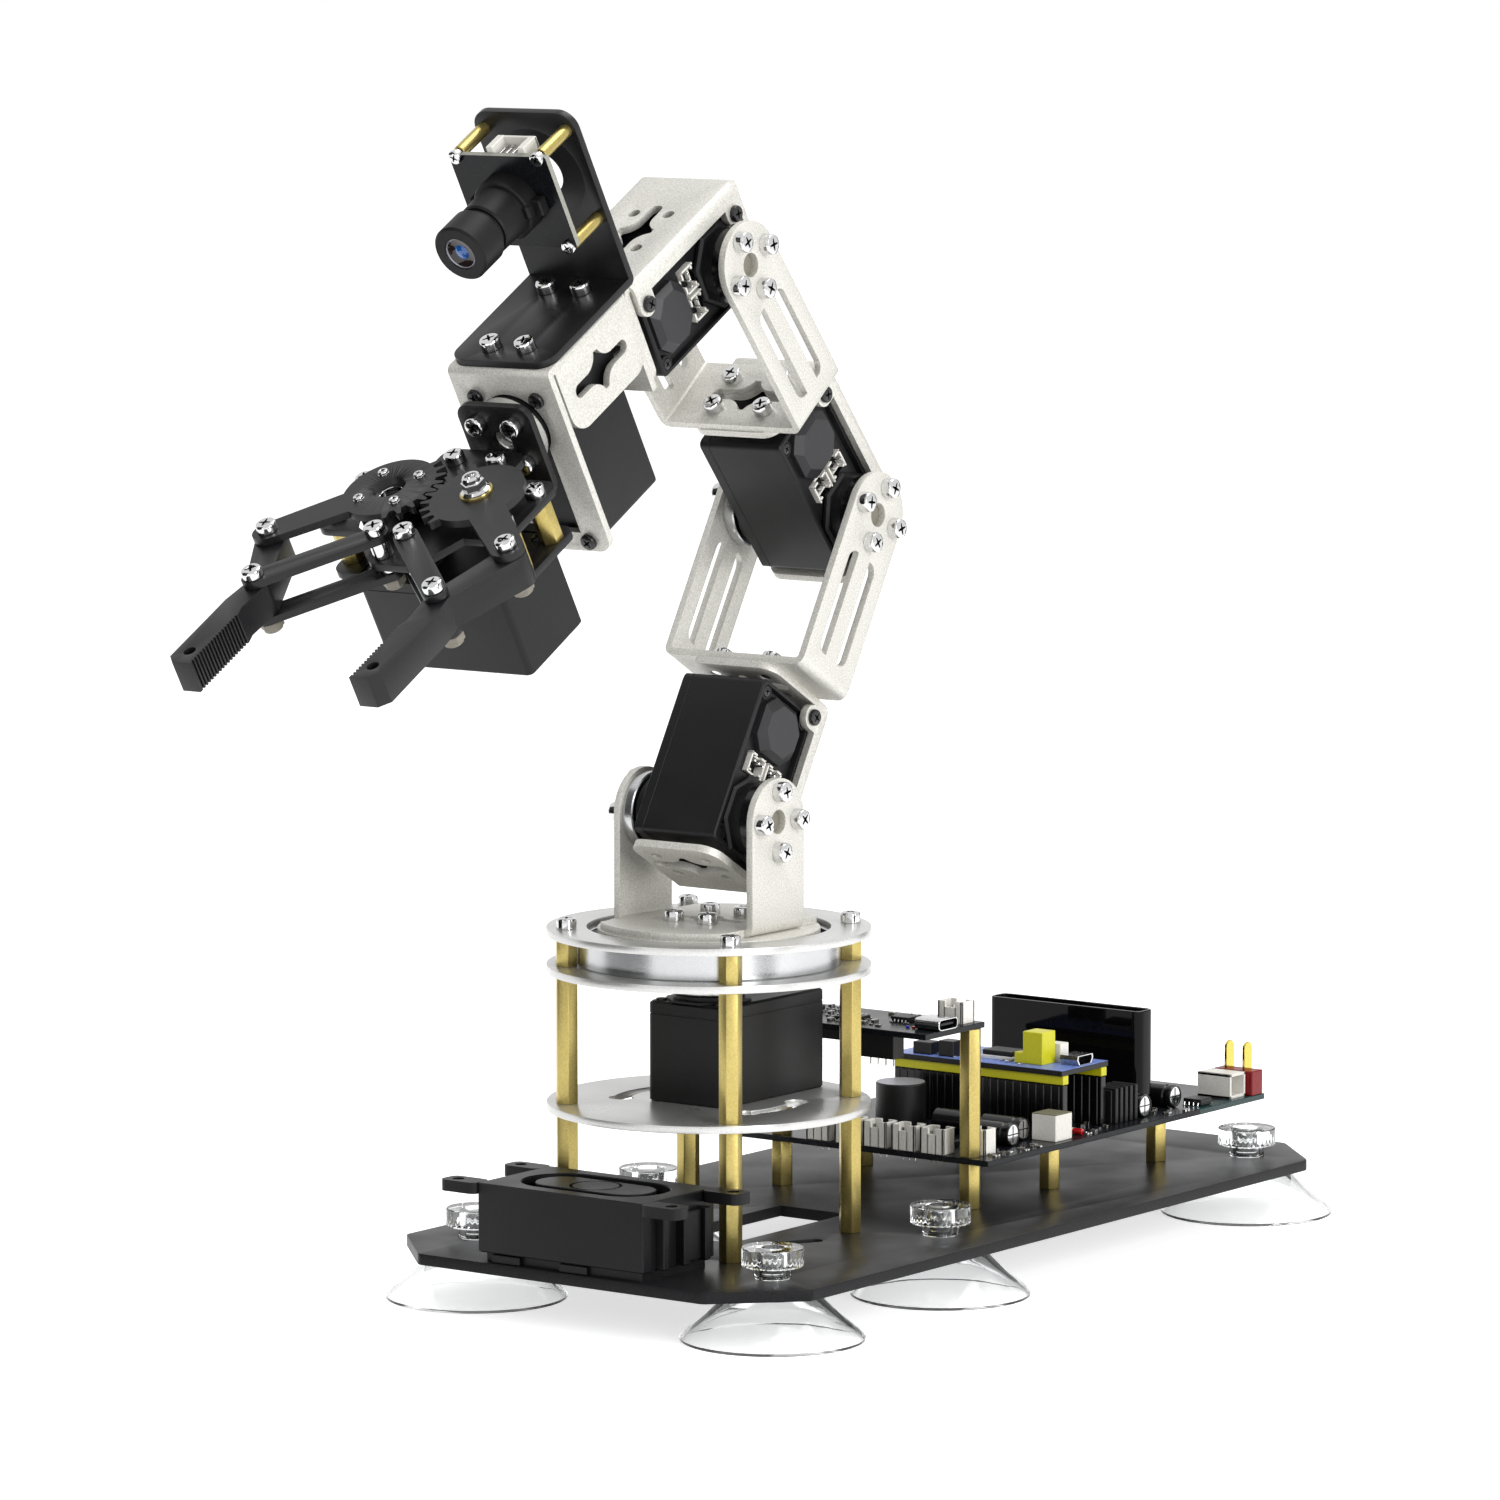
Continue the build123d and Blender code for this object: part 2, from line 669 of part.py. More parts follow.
BASE_PATTERN = [(x, y) for y, x in rectangle_spots(PATTERN_LONG, PATTERN_SHORT)]
with BuildPart() as turntable_plate:
    with BuildSketch(Plane.XY.offset(TURNTABLE_Z)):
        Circle(TURNTABLE_R)
        with Locations(*BASE_PATTERN):
            Circle(SCREW_HOLE_R, mode=Mode.SUBTRACT)
    extrude(amount=SHEET)
keep(turntable_plate.part, "turntable_plate")


# Brackets that carry a servo between two arms
def fork_profile(plane, foot, tip):
    """Side view of a bent fork: its foot and two arms, rounded at the bends."""
    with BuildSketch(plane) as profile:
        with Locations(((foot + tip) / 2, 0)):
            outside = Rectangle(tip - foot, 2 * ARM_OUT)
        fillet(profile.vertices().group_by(Axis.X)[0], BEND_OUTSIDE)
        with BuildSketch(mode=Mode.PRIVATE) as inside:
            with Locations(((foot + SHEET + tip) / 2, 0)):
                Rectangle(tip - foot - SHEET, 2 * ARM_IN)
            fillet(inside.vertices().group_by(Axis.X)[0], BEND_INSIDE)
        add(inside.sketch, mode=Mode.SUBTRACT)
    return profile.sketch


def plus_spots(distance):
    """The four horn screws about an axis at a distance along the section."""
    step = HORN_SCREW_CIRCLE
    return [(distance + step, 0), (distance - step, 0), (distance, step), (distance, -step)]


def cut_arm_holes(frame, distance):
    """Cut the axis hole and horn screw holes through both arms."""
    with BuildSketch(frame) as holes:
        with Locations((distance, 0)):
            Circle(ARM_CENTRE_R)
        with Locations(*plus_spots(distance)):
            Circle(SCREW_HOLE_R)
    extrude(holes.sketch, amount=2 * ARM_OUT, both=True, mode=Mode.SUBTRACT)


SHOULDER_FOOT = link_frame(0, TURNTABLE_TOP, 90)
with BuildPart() as shoulder_bracket:
    extrude(
        fork_profile(lying(SHOULDER_FOOT, 0), 0, SHOULDER_RISE + ARM_HALF_W), amount=ARM_HALF_W, both=True
    )
    with BuildSketch(SHOULDER_FOOT):
        with Locations((SHOULDER_RISE / 2, 0)):
            Rectangle(SHOULDER_RISE, 2 * ARM_HALF_W)
        with Locations((SHOULDER_RISE, 0)):
            Circle(ARM_HALF_W)
    extrude(amount=2 * ARM_OUT, both=True, mode=Mode.INTERSECT)
    with BuildSketch(Plane.XY.offset(TURNTABLE_TOP)) as foot_plate:
        Circle(TURNTABLE_R - FOOT_MARGIN)
        Rectangle(2 * (ARM_OUT - BEND_OUTSIDE), 2 * TURNTABLE_R, mode=Mode.INTERSECT)
    extrude(amount=SHEET)
    cut_holes(Plane.XY.offset(TURNTABLE_TOP + SHEET), BASE_PATTERN, SHEET)
    cut_star(Plane.XY.offset(TURNTABLE_TOP + SHEET), (0, 0), 0, SHEET)
    cut_arm_holes(SHOULDER_FOOT, SHOULDER_RISE)
keep(shoulder_bracket.part, "shoulder_bracket")


def long_bracket(frame):
    """The long fork of an arm section, from its end plate to the next axis."""
    with BuildPart() as fork:
        extrude(
            fork_profile(lying(frame, 0), LINK_BASE_AT, LINK + ARM_HALF_W), amount=ARM_HALF_W, both=True
        )
        with BuildSketch(frame):
            with Locations(((LINK_BASE_AT + LINK) / 2, 0)):
                Rectangle(LINK - LINK_BASE_AT, 2 * ARM_HALF_W)
            with Locations((LINK, 0)):
                Circle(ARM_HALF_W)
        extrude(amount=2 * ARM_OUT, both=True, mode=Mode.INTERSECT)
        with BuildSketch(frame):
            slot_length = ARM_SLOT_FAR - ARM_SLOT_NEAR
            with Locations((LINK - (ARM_SLOT_FAR + ARM_SLOT_NEAR) / 2, 0)):
                RectangleRounded(slot_length, 2 * ARM_SLOT_HALF_W, ARM_SLOT_CORNER)
                Rectangle(slot_length, 2 * ARM_RIB_HALF_W, mode=Mode.SUBTRACT)
        extrude(amount=2 * ARM_OUT, both=True, mode=Mode.SUBTRACT)
        foot_top = across(frame, LINK_BASE_AT + SHEET)
        cut_holes(foot_top, rectangle_spots(PATTERN_LONG, PATTERN_SHORT), SHEET)
        cut_star(foot_top, (0, 0), 0, SHEET)
        cut_arm_holes(frame, LINK)
    return fork.part


def servo_bracket(frame):
    """The bent tray screwed to a servo's sides, with a plate past each end of it."""
    length = END_PLATE_TIP + END_PLATE_BACK + 2 * SHEET
    middle = (END_PLATE_TIP - END_PLATE_BACK) / 2
    with BuildPart() as tray:
        with BuildSketch(frame) as ends:
            with Locations((middle, (MAIN_PLATE_OUT - END_PLATE_DEPTH) / 2)):
                Rectangle(length, MAIN_PLATE_OUT + END_PLATE_DEPTH)
            fillet(ends.vertices().group_by(Axis.Y)[-1], BEND_OUTSIDE)
            with BuildSketch(mode=Mode.PRIVATE) as inside:
                with Locations((middle, (MAIN_PLATE_IN - END_PLATE_DEPTH) / 2)):
                    Rectangle(length - 2 * SHEET, MAIN_PLATE_IN + END_PLATE_DEPTH)
                fillet(inside.vertices().group_by(Axis.Y)[-1], BEND_INSIDE)
            add(inside.sketch, mode=Mode.SUBTRACT)
        extrude(amount=END_PLATE_HALF_X, both=True)
        lengthwise = Axis(frame.origin, frame.x_dir)
        towards_back = Axis(frame.origin, frame.y_dir)
        free_corners = tray.edges().filter_by(lengthwise).sort_by(towards_back)[:4]
        fillet(free_corners, END_PLATE_CORNER)
        with BuildSketch(across(frame, -LUG_BACK - LUG_R)) as sides:
            with Locations((0, (MAIN_PLATE_OUT + FLANGE_LOW) / 2)):
                Rectangle(2 * (SERVO_HALF_H + SHEET), MAIN_PLATE_OUT - FLANGE_LOW)
            fillet(sides.vertices().group_by(Axis.Y)[-1], BEND_OUTSIDE)
            with BuildSketch(mode=Mode.PRIVATE) as between:
                with Locations((0, (MAIN_PLATE_IN + FLANGE_LOW) / 2)):
                    Rectangle(2 * SERVO_HALF_H, MAIN_PLATE_IN - FLANGE_LOW)
                fillet(between.vertices().group_by(Axis.Y)[-1], BEND_INSIDE)
            add(between.sketch, mode=Mode.SUBTRACT)
        extrude(amount=LUG_TIP + LUG_BACK + 2 * LUG_R)
        with BuildSketch(frame.offset(SERVO_HALF_H)) as lugs:
            with Locations((LUG_TIP, LUG_OUT), (-LUG_BACK, LUG_OUT)):
                Circle(LUG_R)
            with Locations((LUG_TIP, (LUG_OUT + FLANGE_LOW) / 2), (-LUG_BACK, (LUG_OUT + FLANGE_LOW) / 2)):
                Rectangle(2 * LUG_R, FLANGE_LOW - LUG_OUT)
        extrude(lugs.sketch, amount=SHEET)
        mirror(extrude(lugs.sketch, amount=SHEET, mode=Mode.PRIVATE), about=frame)
        cut_tray_openings(frame)
    return tray.part


def cut_tray_openings(frame):
    """Cut the star and its four holes into the main plate and both end plates."""
    main_plate = lying(frame, MAIN_PLATE_OUT)
    spots = [(MAIN_PATTERN_AT + x, y) for x, y in rectangle_spots(PATTERN_LONG, PATTERN_SHORT)]
    cut_holes(main_plate, spots, SHEET)
    cut_star(main_plate, (MAIN_PATTERN_AT, 0), 0, SHEET)
    for place in (END_PLATE_TIP + SHEET, -END_PLATE_BACK):
        end_plate = across(frame, place)
        cut_holes(end_plate, rectangle_spots(PATTERN_LONG, PATTERN_SHORT), SHEET)
        cut_star(end_plate, (0, 0), 0, SHEET)
    with BuildSketch(frame) as lug_holes:
        with Locations((LUG_TIP, LUG_OUT), (-LUG_BACK, LUG_OUT)):
            Circle(SCREW_HOLE_R)
    extrude(lug_holes.sketch, amount=2 * SERVO_HALF_H, both=True, mode=Mode.SUBTRACT)


def add_lug_screws(frame):
    """The black screws that hold a servo in its bracket, on both sides."""
    spots = [(LUG_TIP, LUG_OUT), (-LUG_BACK, LUG_OUT)]
    add_screws(frame.offset(SERVO_HALF_H + SHEET), spots, SHEET, SMALL_HEAD_R, SMALL_HEAD_H)
    far_side = Plane(frame.origin, x_dir=frame.x_dir, z_dir=-frame.z_dir)
    turned = [(x, -y) for x, y in spots]
    add_screws(far_side.offset(SERVO_HALF_H + SHEET), turned, SHEET, SMALL_HEAD_R, SMALL_HEAD_H)


def add_horn_screws(frame, distance):
    """The four screws through each arm into the disc behind it."""
    far_side = Plane(frame.origin, x_dir=frame.x_dir, z_dir=-frame.z_dir)
    for side in (frame, far_side):
        add_screws(side.offset(ARM_OUT), plus_spots(distance), SHEET)


def horn_pair(frame, distance):
    """The driven disc on a servo's shaft and the idler on its back boss."""
    with BuildPart() as discs:
        for sign in (1, -1):
            with BuildSketch(frame.offset(sign * (ARM_IN - HORN_T))):
                with Locations((distance, 0)):
                    Circle(HORN_R)
                    Circle(HORN_BORE_R, mode=Mode.SUBTRACT)
            extrude(amount=sign * HORN_T)
    return discs.part


with BuildPart() as turntable_screws:
    add_screws(Plane.XY.offset(TURNTABLE_TOP + SHEET), BASE_PATTERN, 2 * SHEET)
    add_horn_screws(SHOULDER_FOOT, SHOULDER_RISE)
keep(turntable_screws.part, "turntable_screws")
keep(horn_pair(SHOULDER_FOOT, SHOULDER_RISE), "shoulder_horns")

# Upper arm and forearm: the same section twice
for frame, servo_name, bracket_name, fork_name, screw_name, horn_name in (
    (SHOULDER, "shoulder_servo", "shoulder_servo_bracket", "upper_arm_bracket", "upper_arm_screws", "elbow_horns"),
    (ELBOW, "elbow_servo", "elbow_servo_bracket", "forearm_bracket", "forearm_screws", "wrist_horns"),
):
    keep(servo(frame, BOSS_H, BOSS_H), servo_name)
    keep(servo_bracket(frame), bracket_name)
    keep(long_bracket(frame), fork_name)
    with BuildPart() as section_screws:
        add_lug_screws(frame)
        add_screws(
            across(frame, LINK_BASE_AT + SHEET), rectangle_spots(PATTERN_LONG, PATTERN_SHORT), 2 * SHEET
        )
        add_horn_screws(frame, LINK)
    keep(section_screws.part, screw_name)
    keep(horn_pair(frame, LINK), horn_name)

# Wrist
keep(servo(WRIST, BOSS_H, BOSS_H), "wrist_servo")
keep(servo_bracket(WRIST), "wrist_servo_bracket")


CAMERA_SPOTS = [(s, x) for s in CAMERA_SCREWS_S for x in (CAMERA_SCREWS_X, -CAMERA_SCREWS_X)]
ROLL_SPOTS = [(LUG_TIP, LUG_OUT), (LUG_TIP, -LUG_OUT), (-LUG_BACK, LUG_OUT), (-LUG_BACK, -LUG_OUT)]
ROLL_MID = WRIST.from_local_coords((ROLL_FACE - SERVO_HALF_H, ROLL_AXIS_T, 0))
ROLL = Plane(origin=ROLL_MID, x_dir=-WRIST.y_dir, z_dir=WRIST.x_dir)
ROLL_FRONT = ROLL_FACE + ROLL_FRONT_GAP

keep(servo(ROLL, BOSS_H, BOSS_H), "roll_servo")

with BuildPart() as roll_bracket:
    with BuildSketch(across(WRIST, ROLL_EAR_FROM)) as flange:
        with Locations((0, (ROLL_TOP + ROLL_EAR_LOW) / 2)):
            Rectangle(2 * ROLL_FRONT_HALF_X, ROLL_TOP - ROLL_EAR_LOW)
        fillet(flange.vertices().group_by(Axis.Y)[-1], BEND_OUTSIDE)
        with BuildSketch(mode=Mode.PRIVATE) as hollow:
            with Locations((0, (ROLL_TOP - SHEET + ROLL_EAR_LOW) / 2)):
                Rectangle(2 * (ROLL_FRONT_HALF_X - SHEET), ROLL_TOP - SHEET - ROLL_EAR_LOW)
            fillet(hollow.vertices().group_by(Axis.Y)[-1], BEND_INSIDE)
        add(hollow.sketch, mode=Mode.SUBTRACT)
    extrude(amount=ROLL_FRONT - ROLL_EAR_FROM - BEND_INSIDE)
    crosswise = roll_bracket.edges().filter_by(Axis(WRIST.origin, WRIST.z_dir))
    fillet(crosswise.sort_by(Axis(WRIST.origin, WRIST.y_dir))[:4], ROLL_EAR_CORNER)
    with BuildSketch(WRIST):
        with Locations(((ROLL_EAR_FROM + LINK_BASE_AT) / 2, (ROLL_TOP - END_PLATE_DEPTH) / 2)):
            Rectangle(ROLL_EAR_FROM - LINK_BASE_AT, ROLL_TOP + END_PLATE_DEPTH)
    extrude(amount=END_PLATE_HALF_X, both=True)
    with BuildSketch(WRIST) as front:
        with Locations(((ROLL_FRONT + SHEET / 2), (ROLL_TOP + ROLL_FRONT_LOW) / 2)):
            Rectangle(SHEET, ROLL_TOP - ROLL_FRONT_LOW)
        with Locations((ROLL_FRONT - ROLL_BEND_RUN, ROLL_TOP - SHEET / 2)):
            Rectangle(2 * ROLL_BEND_RUN, SHEET)
        fillet(front.vertices().group_by(Axis.X)[-1].sort_by(Axis.Y)[-1], ROLL_BEND)
    extrude(amount=ROLL_FRONT_HALF_X, both=True)
    lowest = roll_bracket.edges().filter_by(Axis(WRIST.origin, WRIST.x_dir))
    fillet(lowest.sort_by(Axis(WRIST.origin, WRIST.y_dir))[:2], MOUNT_CORNER)
    with BuildSketch(ROLL.offset(SERVO_HALF_H + SHEET + ROLL_FRONT_GAP)) as window:
        Circle(BOSS_R + BOSS_ROOM)
        with Locations(((ROLL_AXIS_T - ROLL_WINDOW_LOW) / 2, 0)):
            Rectangle(ROLL_AXIS_T - ROLL_WINDOW_LOW, 2 * ROLL_WINDOW_HALF_X)
        with Locations(*ROLL_SPOTS):
            Circle(SCREW_HOLE_R)
    extrude(amount=-SHEET, mode=Mode.SUBTRACT)
    with BuildSketch(WRIST) as ears:
        with Locations(((ROLL_EAR_FROM + ROLL_FRONT) / 2, ROLL_EAR_STAR_T)):
            add(STAR)
    extrude(amount=ROLL_FRONT_HALF_X, both=True, mode=Mode.SUBTRACT)
    rear = across(WRIST, ROLL_EAR_FROM)
    cut_holes(rear, rectangle_spots(PATTERN_LONG, PATTERN_SHORT), SHEET)
    cut_star(rear, (0, 0), 0, SHEET)
    cut_holes(lying(WRIST, ROLL_TOP), CAMERA_SPOTS, SHEET)
keep(roll_bracket.part, "roll_bracket")

with BuildPart() as wrist_screws:
    add_lug_screws(WRIST)
    add_screws(across(WRIST, ROLL_EAR_FROM), rectangle_spots(PATTERN_LONG, PATTERN_SHORT), 2 * SHEET)
    front_face = ROLL.offset(SERVO_HALF_H + SHEET + ROLL_FRONT_GAP)
    add_screws(front_face, ROLL_SPOTS, SHEET + 0.3, SMALL_HEAD_R, SMALL_HEAD_H)
    add_screws(lying(WRIST, ROLL_TOP + SHEET), CAMERA_SPOTS, 2 * SHEET)
keep(wrist_screws.part, "wrist_screws")

# Camera
with BuildPart() as camera_bracket:
    with BuildSketch(WRIST) as angle:
        with Locations(((CAMERA_PLATE_BACK + CAMERA_PLATE_FRONT) / 2, ROLL_TOP + SHEET / 2)):
            Rectangle(CAMERA_PLATE_FRONT - CAMERA_PLATE_BACK, SHEET)
        with Locations((CAMERA_PLATE_BACK + SHEET / 2, (ROLL_TOP + CAMERA_TOP) / 2)):
            Rectangle(SHEET, CAMERA_TOP - ROLL_TOP)
        fillet(angle.vertices().sort_by(Axis.X)[:2].sort_by(Axis.Y)[0], ROLL_BEND)
    extrude(amount=CAMERA_HALF_X, both=True)
    upright = camera_bracket.edges().filter_by(Axis(WRIST.origin, WRIST.y_dir))
    fillet(upright.sort_by(Axis(WRIST.origin, WRIST.x_dir))[-2:], CAMERA_CORNER)
    forward = camera_bracket.edges().filter_by(Axis(WRIST.origin, WRIST.x_dir))
    fillet(forward.sort_by(Axis(WRIST.origin, WRIST.y_dir))[-2:], CAMERA_CORNER)
    with BuildSketch(across(WRIST, CAMERA_PLATE_BACK + SHEET)):
        with Locations((0, CAMERA_AXIS_T)):
            Circle(CAMERA_HOLE_R)
    extrude(amount=-SHEET, mode=Mode.SUBTRACT)
    cut_holes(lying(WRIST, ROLL_TOP + SHEET), CAMERA_SPOTS, SHEET)
keep(camera_bracket.part, "camera_bracket")

POST_SPOTS = [(x, CAMERA_AXIS_T + y) for x in (-BOARD_HOLE, BOARD_HOLE) for y in (-BOARD_HOLE, BOARD_HOLE)]
with BuildPart() as camera_board:
    with BuildSketch(across(WRIST, BOARD_FRONT)):
        with Locations((0, CAMERA_AXIS_T)):
            Rectangle(2 * BOARD_HALF, 2 * BOARD_HALF)
    extrude(amount=-BOARD_T)
    with BuildSketch(across(WRIST, BOARD_FRONT - BOARD_T)):
        with Locations((CAMERA_PLUG_X, CAMERA_AXIS_T + BOARD_HALF - CAMERA_PLUG_IN)):
            Rectangle(CAMERA_PLUG_LENGTH, CAMERA_PLUG_WIDTH)
    extrude(amount=-CAMERA_PLUG_H)
keep(camera_board.part, "camera_board")

with BuildPart() as camera_posts:
    with BuildSketch(across(WRIST, CAMERA_PLATE_BACK + SHEET)):
        with Locations(*POST_SPOTS):
            RegularPolygon(CAMERA_POST_FLATS / 2, 6, major_radius=False)
    extrude(amount=BOARD_FRONT - BOARD_T - CAMERA_PLATE_BACK - SHEET)
    with BuildSketch(across(WRIST, BOARD_FRONT)):
        with Locations(*POST_SPOTS):
            Circle(CAMERA_HEAD_R)
    extrude(amount=CAMERA_HEAD_H)
keep(camera_posts.part, "camera_posts")

with BuildPart() as camera_lens:
    with BuildSketch(lying(WRIST, CAMERA_AXIS_T)):
        with BuildLine():
            Polyline(
                (BOARD_FRONT, 0),
                (BOARD_FRONT, LENS_MOUNT_R),
                (BOARD_FRONT + LENS_MOUNT_H, LENS_MOUNT_R),
                (BOARD_FRONT + LENS_MOUNT_H, LENS_BARREL_R),
                (BOARD_FRONT + LENS_BARREL_H, LENS_BARREL_R),
                (BOARD_FRONT + LENS_BARREL_H, LENS_NECK_R),
                (BOARD_FRONT + LENS_NECK_H, LENS_NECK_R),
                (BOARD_FRONT + LENS_NECK_H, LENS_FRONT_R),
                (LENS_TIP, LENS_FRONT_R),
                (LENS_TIP, LENS_MOUTH_R),
                (LENS_TIP - LENS_SUNK, LENS_GLASS_R),
                (LENS_TIP - LENS_SUNK, 0),
                close=True,
            )
        make_face()
    revolve(axis=Axis(WRIST.from_local_coords((0, CAMERA_AXIS_T, 0)), WRIST.x_dir))
keep(camera_lens.part, "camera_lens")

# Gripper base
ROLL_HORN_AT = ROLL_FACE + BOSS_H + RUNNING_GAP
MOUNT_BACK = ROLL_HORN_AT + HORN_T
ROLL_TO_WRIST = [(0, ROLL_AXIS_T)]
with BuildPart() as roll_horn:
    with BuildSketch(across(WRIST, ROLL_HORN_AT)):
        with Locations(*ROLL_TO_WRIST):
            Circle(HORN_R)
            Circle(HORN_BORE_R, mode=Mode.SUBTRACT)
    extrude(amount=HORN_T)
keep(roll_horn.part, "roll_horn")

MOUNT_STEPS = (-MOUNT_SCREW_STEP, MOUNT_SCREW_STEP)
MOUNT_SPOTS = [(x, ROLL_AXIS_T + y) for x in MOUNT_STEPS for y in MOUNT_STEPS]
TONGUE_S = GRIP_TONGUE_FROM + TONGUE_SCREWS_IN
TONGUE_SPOTS = [(TONGUE_S, GRIP_PLATE_MID_X + side * TONGUE_SCREWS_X) for side in (-1, 1)]
with BuildPart() as gripper_mount:
    with BuildSketch(WRIST) as bent:
        with Locations((MOUNT_BACK + SHEET / 2, (MOUNT_TOP + LOWER_BASE_TOP) / 2)):
            Rectangle(SHEET, MOUNT_TOP - LOWER_BASE_TOP)
        with Locations(((MOUNT_BACK + GRIP_PLATE_FROM + MOUNT_FOOT_RUN) / 2, LOWER_BASE_TOP + SHEET / 2)):
            Rectangle(GRIP_PLATE_FROM + MOUNT_FOOT_RUN - MOUNT_BACK, SHEET)
        fillet(bent.vertices().sort_by(Axis.X)[:2].sort_by(Axis.Y)[0], BEND_OUTSIDE)
    extrude(amount=MOUNT_HALF_X, both=True)
    forward = gripper_mount.edges().filter_by(Axis(WRIST.origin, WRIST.x_dir))
    fillet(forward.sort_by(Axis(WRIST.origin, WRIST.y_dir))[-2:], MOUNT_CORNER)
    cut_holes(across(WRIST, MOUNT_BACK + SHEET), MOUNT_SPOTS, SHEET)
    cut_holes(across(WRIST, MOUNT_BACK + SHEET), ROLL_TO_WRIST, SHEET, ARM_CENTRE_R)
keep(gripper_mount.part, "gripper_mount")

GRIP_MID_S = (GRIP_PLATE_FROM + GRIP_PLATE_TO) / 2
GRIP_POSTS = [
    (GRIP_MID_S + s, GRIP_PLATE_MID_X + x)
    for s, x in rectangle_spots(GRIP_STANDOFF_STEP_S, GRIP_STANDOFF_STEP_X)
]
LINK_BASES = [(LINK_BASE_S, LINK_BASE_X), (LINK_BASE_S, -LINK_BASE_X)]
GRIP_LENGTH = GRIP_PLATE_TO - GRIP_PLATE_FROM


def lower_servo_outline(gap):
    """Plan of the gripper servo's case, with a gap all round."""
    with BuildSketch(mode=Mode.PRIVATE) as plan:
        with Locations((GEAR_S, (SERVO_TIP - SERVO_BACK) / 2 - GEAR_X)):
            Rectangle(2 * (SERVO_HALF_W + gap), SERVO_TIP + SERVO_BACK + 2 * gap)
    return plan.sketch


with BuildPart() as gripper_plates:
    with BuildSketch(lying(WRIST, BASE_TOP)) as upper:
        with Locations((GRIP_MID_S, GRIP_PLATE_MID_X)):
            RectangleRounded(GRIP_LENGTH, 2 * GRIP_PLATE_HALF_X, GRIP_PLATE_CORNER)
        with Locations(((GRIP_TONGUE_FROM + GRIP_MID_S) / 2, GRIP_PLATE_MID_X)):
            RectangleRounded(GRIP_MID_S - GRIP_TONGUE_FROM, 2 * GRIP_TONGUE_HALF_X, GRIP_PLATE_CORNER)
        with BuildSketch(mode=Mode.PRIVATE) as nose:
            with Locations(*LINK_BASES):
                Circle(CRANK_END_R)
            corner_s = GRIP_PLATE_TO - NOSE_CORNER_IN
            with Locations((corner_s, -NOSE_CORNER_X), (corner_s, NOSE_CORNER_X)):
                Circle(CRANK_END_R)
            make_hull()
        add(nose.sketch)
        with Locations((GEAR_S, -GEAR_X)):
            Circle(HORN_R + RUNNING_GAP, mode=Mode.SUBTRACT)
        with Locations(*GRIP_POSTS, *TONGUE_SPOTS, *LINK_BASES, (GEAR_S, GEAR_X)):
            Circle(SCREW_HOLE_R, mode=Mode.SUBTRACT)
    extrude(amount=-BAR_T)
    with BuildSketch(lying(WRIST, LOWER_BASE_TOP)) as lower:
        with Locations((GRIP_MID_S, GRIP_PLATE_MID_X)):
            RectangleRounded(GRIP_LENGTH, 2 * GRIP_PLATE_HALF_X, GRIP_PLATE_CORNER)
        add(lower_servo_outline(PIN_CLEARANCE), mode=Mode.SUBTRACT)
        with Locations(*GRIP_POSTS):
            Circle(SCREW_HOLE_R, mode=Mode.SUBTRACT)
    extrude(amount=-BAR_T)
keep(gripper_plates.part, "gripper_plates")

GRIP_SERVO_MID = WRIST.from_local_coords((GEAR_S, LOWER_BASE_TOP - SERVO_HALF_H, GEAR_X))
GRIP_SERVO = Plane(origin=GRIP_SERVO_MID, x_dir=-WRIST.z_dir, z_dir=WRIST.y_dir)
keep(servo(GRIP_SERVO, BOSS_H, 0), "gripper_servo")

with BuildPart() as gripper_posts:
    with BuildSketch(lying(WRIST, LOWER_BASE_TOP)):
        with Locations(*GRIP_POSTS):
            RegularPolygon(HEX_FLATS / 2, 6, major_radius=False)
    extrude(amount=BASE_TOP - BAR_T - LOWER_BASE_TOP)
    with BuildSketch(lying(WRIST, LOWER_BASE_TOP + SHEET)):
        with Locations(*TONGUE_SPOTS):
            RegularPolygon(HEX_FLATS / 2, 6, major_radius=False)
    extrude(amount=BASE_TOP - BAR_T - LOWER_BASE_TOP - SHEET)
keep(gripper_posts.part, "gripper_posts")

BAR_HIGH = GEAR_LOW + BAR_T
LOWER_BAR_LOW = LOWER_BAR_TOP - BAR_T
PIVOT_HOLE_R = SCREW_R + PIN_CLEARANCE


def add_pivot_bolt(spots, foot, collars):
    """Bolts through the linkage: a head on top, a lock nut at the foot, collars between."""
    with BuildSketch(lying(WRIST, BAR_HIGH + 2 * PIN_CLEARANCE)) as heads:
        with Locations(*spots):
            Circle(HEAD_R)
    extrude(heads.sketch, amount=HEAD_H - HEAD_SUNK)
    with BuildSketch(lying(WRIST, BAR_HIGH + 2 * PIN_CLEARANCE)) as pins:
        with Locations(*spots):
            Circle(SCREW_R)
    extrude(pins.sketch, amount=foot - NUT_H - BAR_HIGH)
    with BuildSketch(lying(WRIST, foot)) as nuts:
        with Locations(*spots):
            RegularPolygon(HEX_FLATS / 2, 6, major_radius=False)
    extrude(nuts.sketch, amount=-NUT_H)
    for low, high in collars:
        with BuildSketch(lying(WRIST, low)) as collar:
            with Locations(*spots):
                Circle(HEAD_R)
        extrude(collar.sketch, amount=high - low)


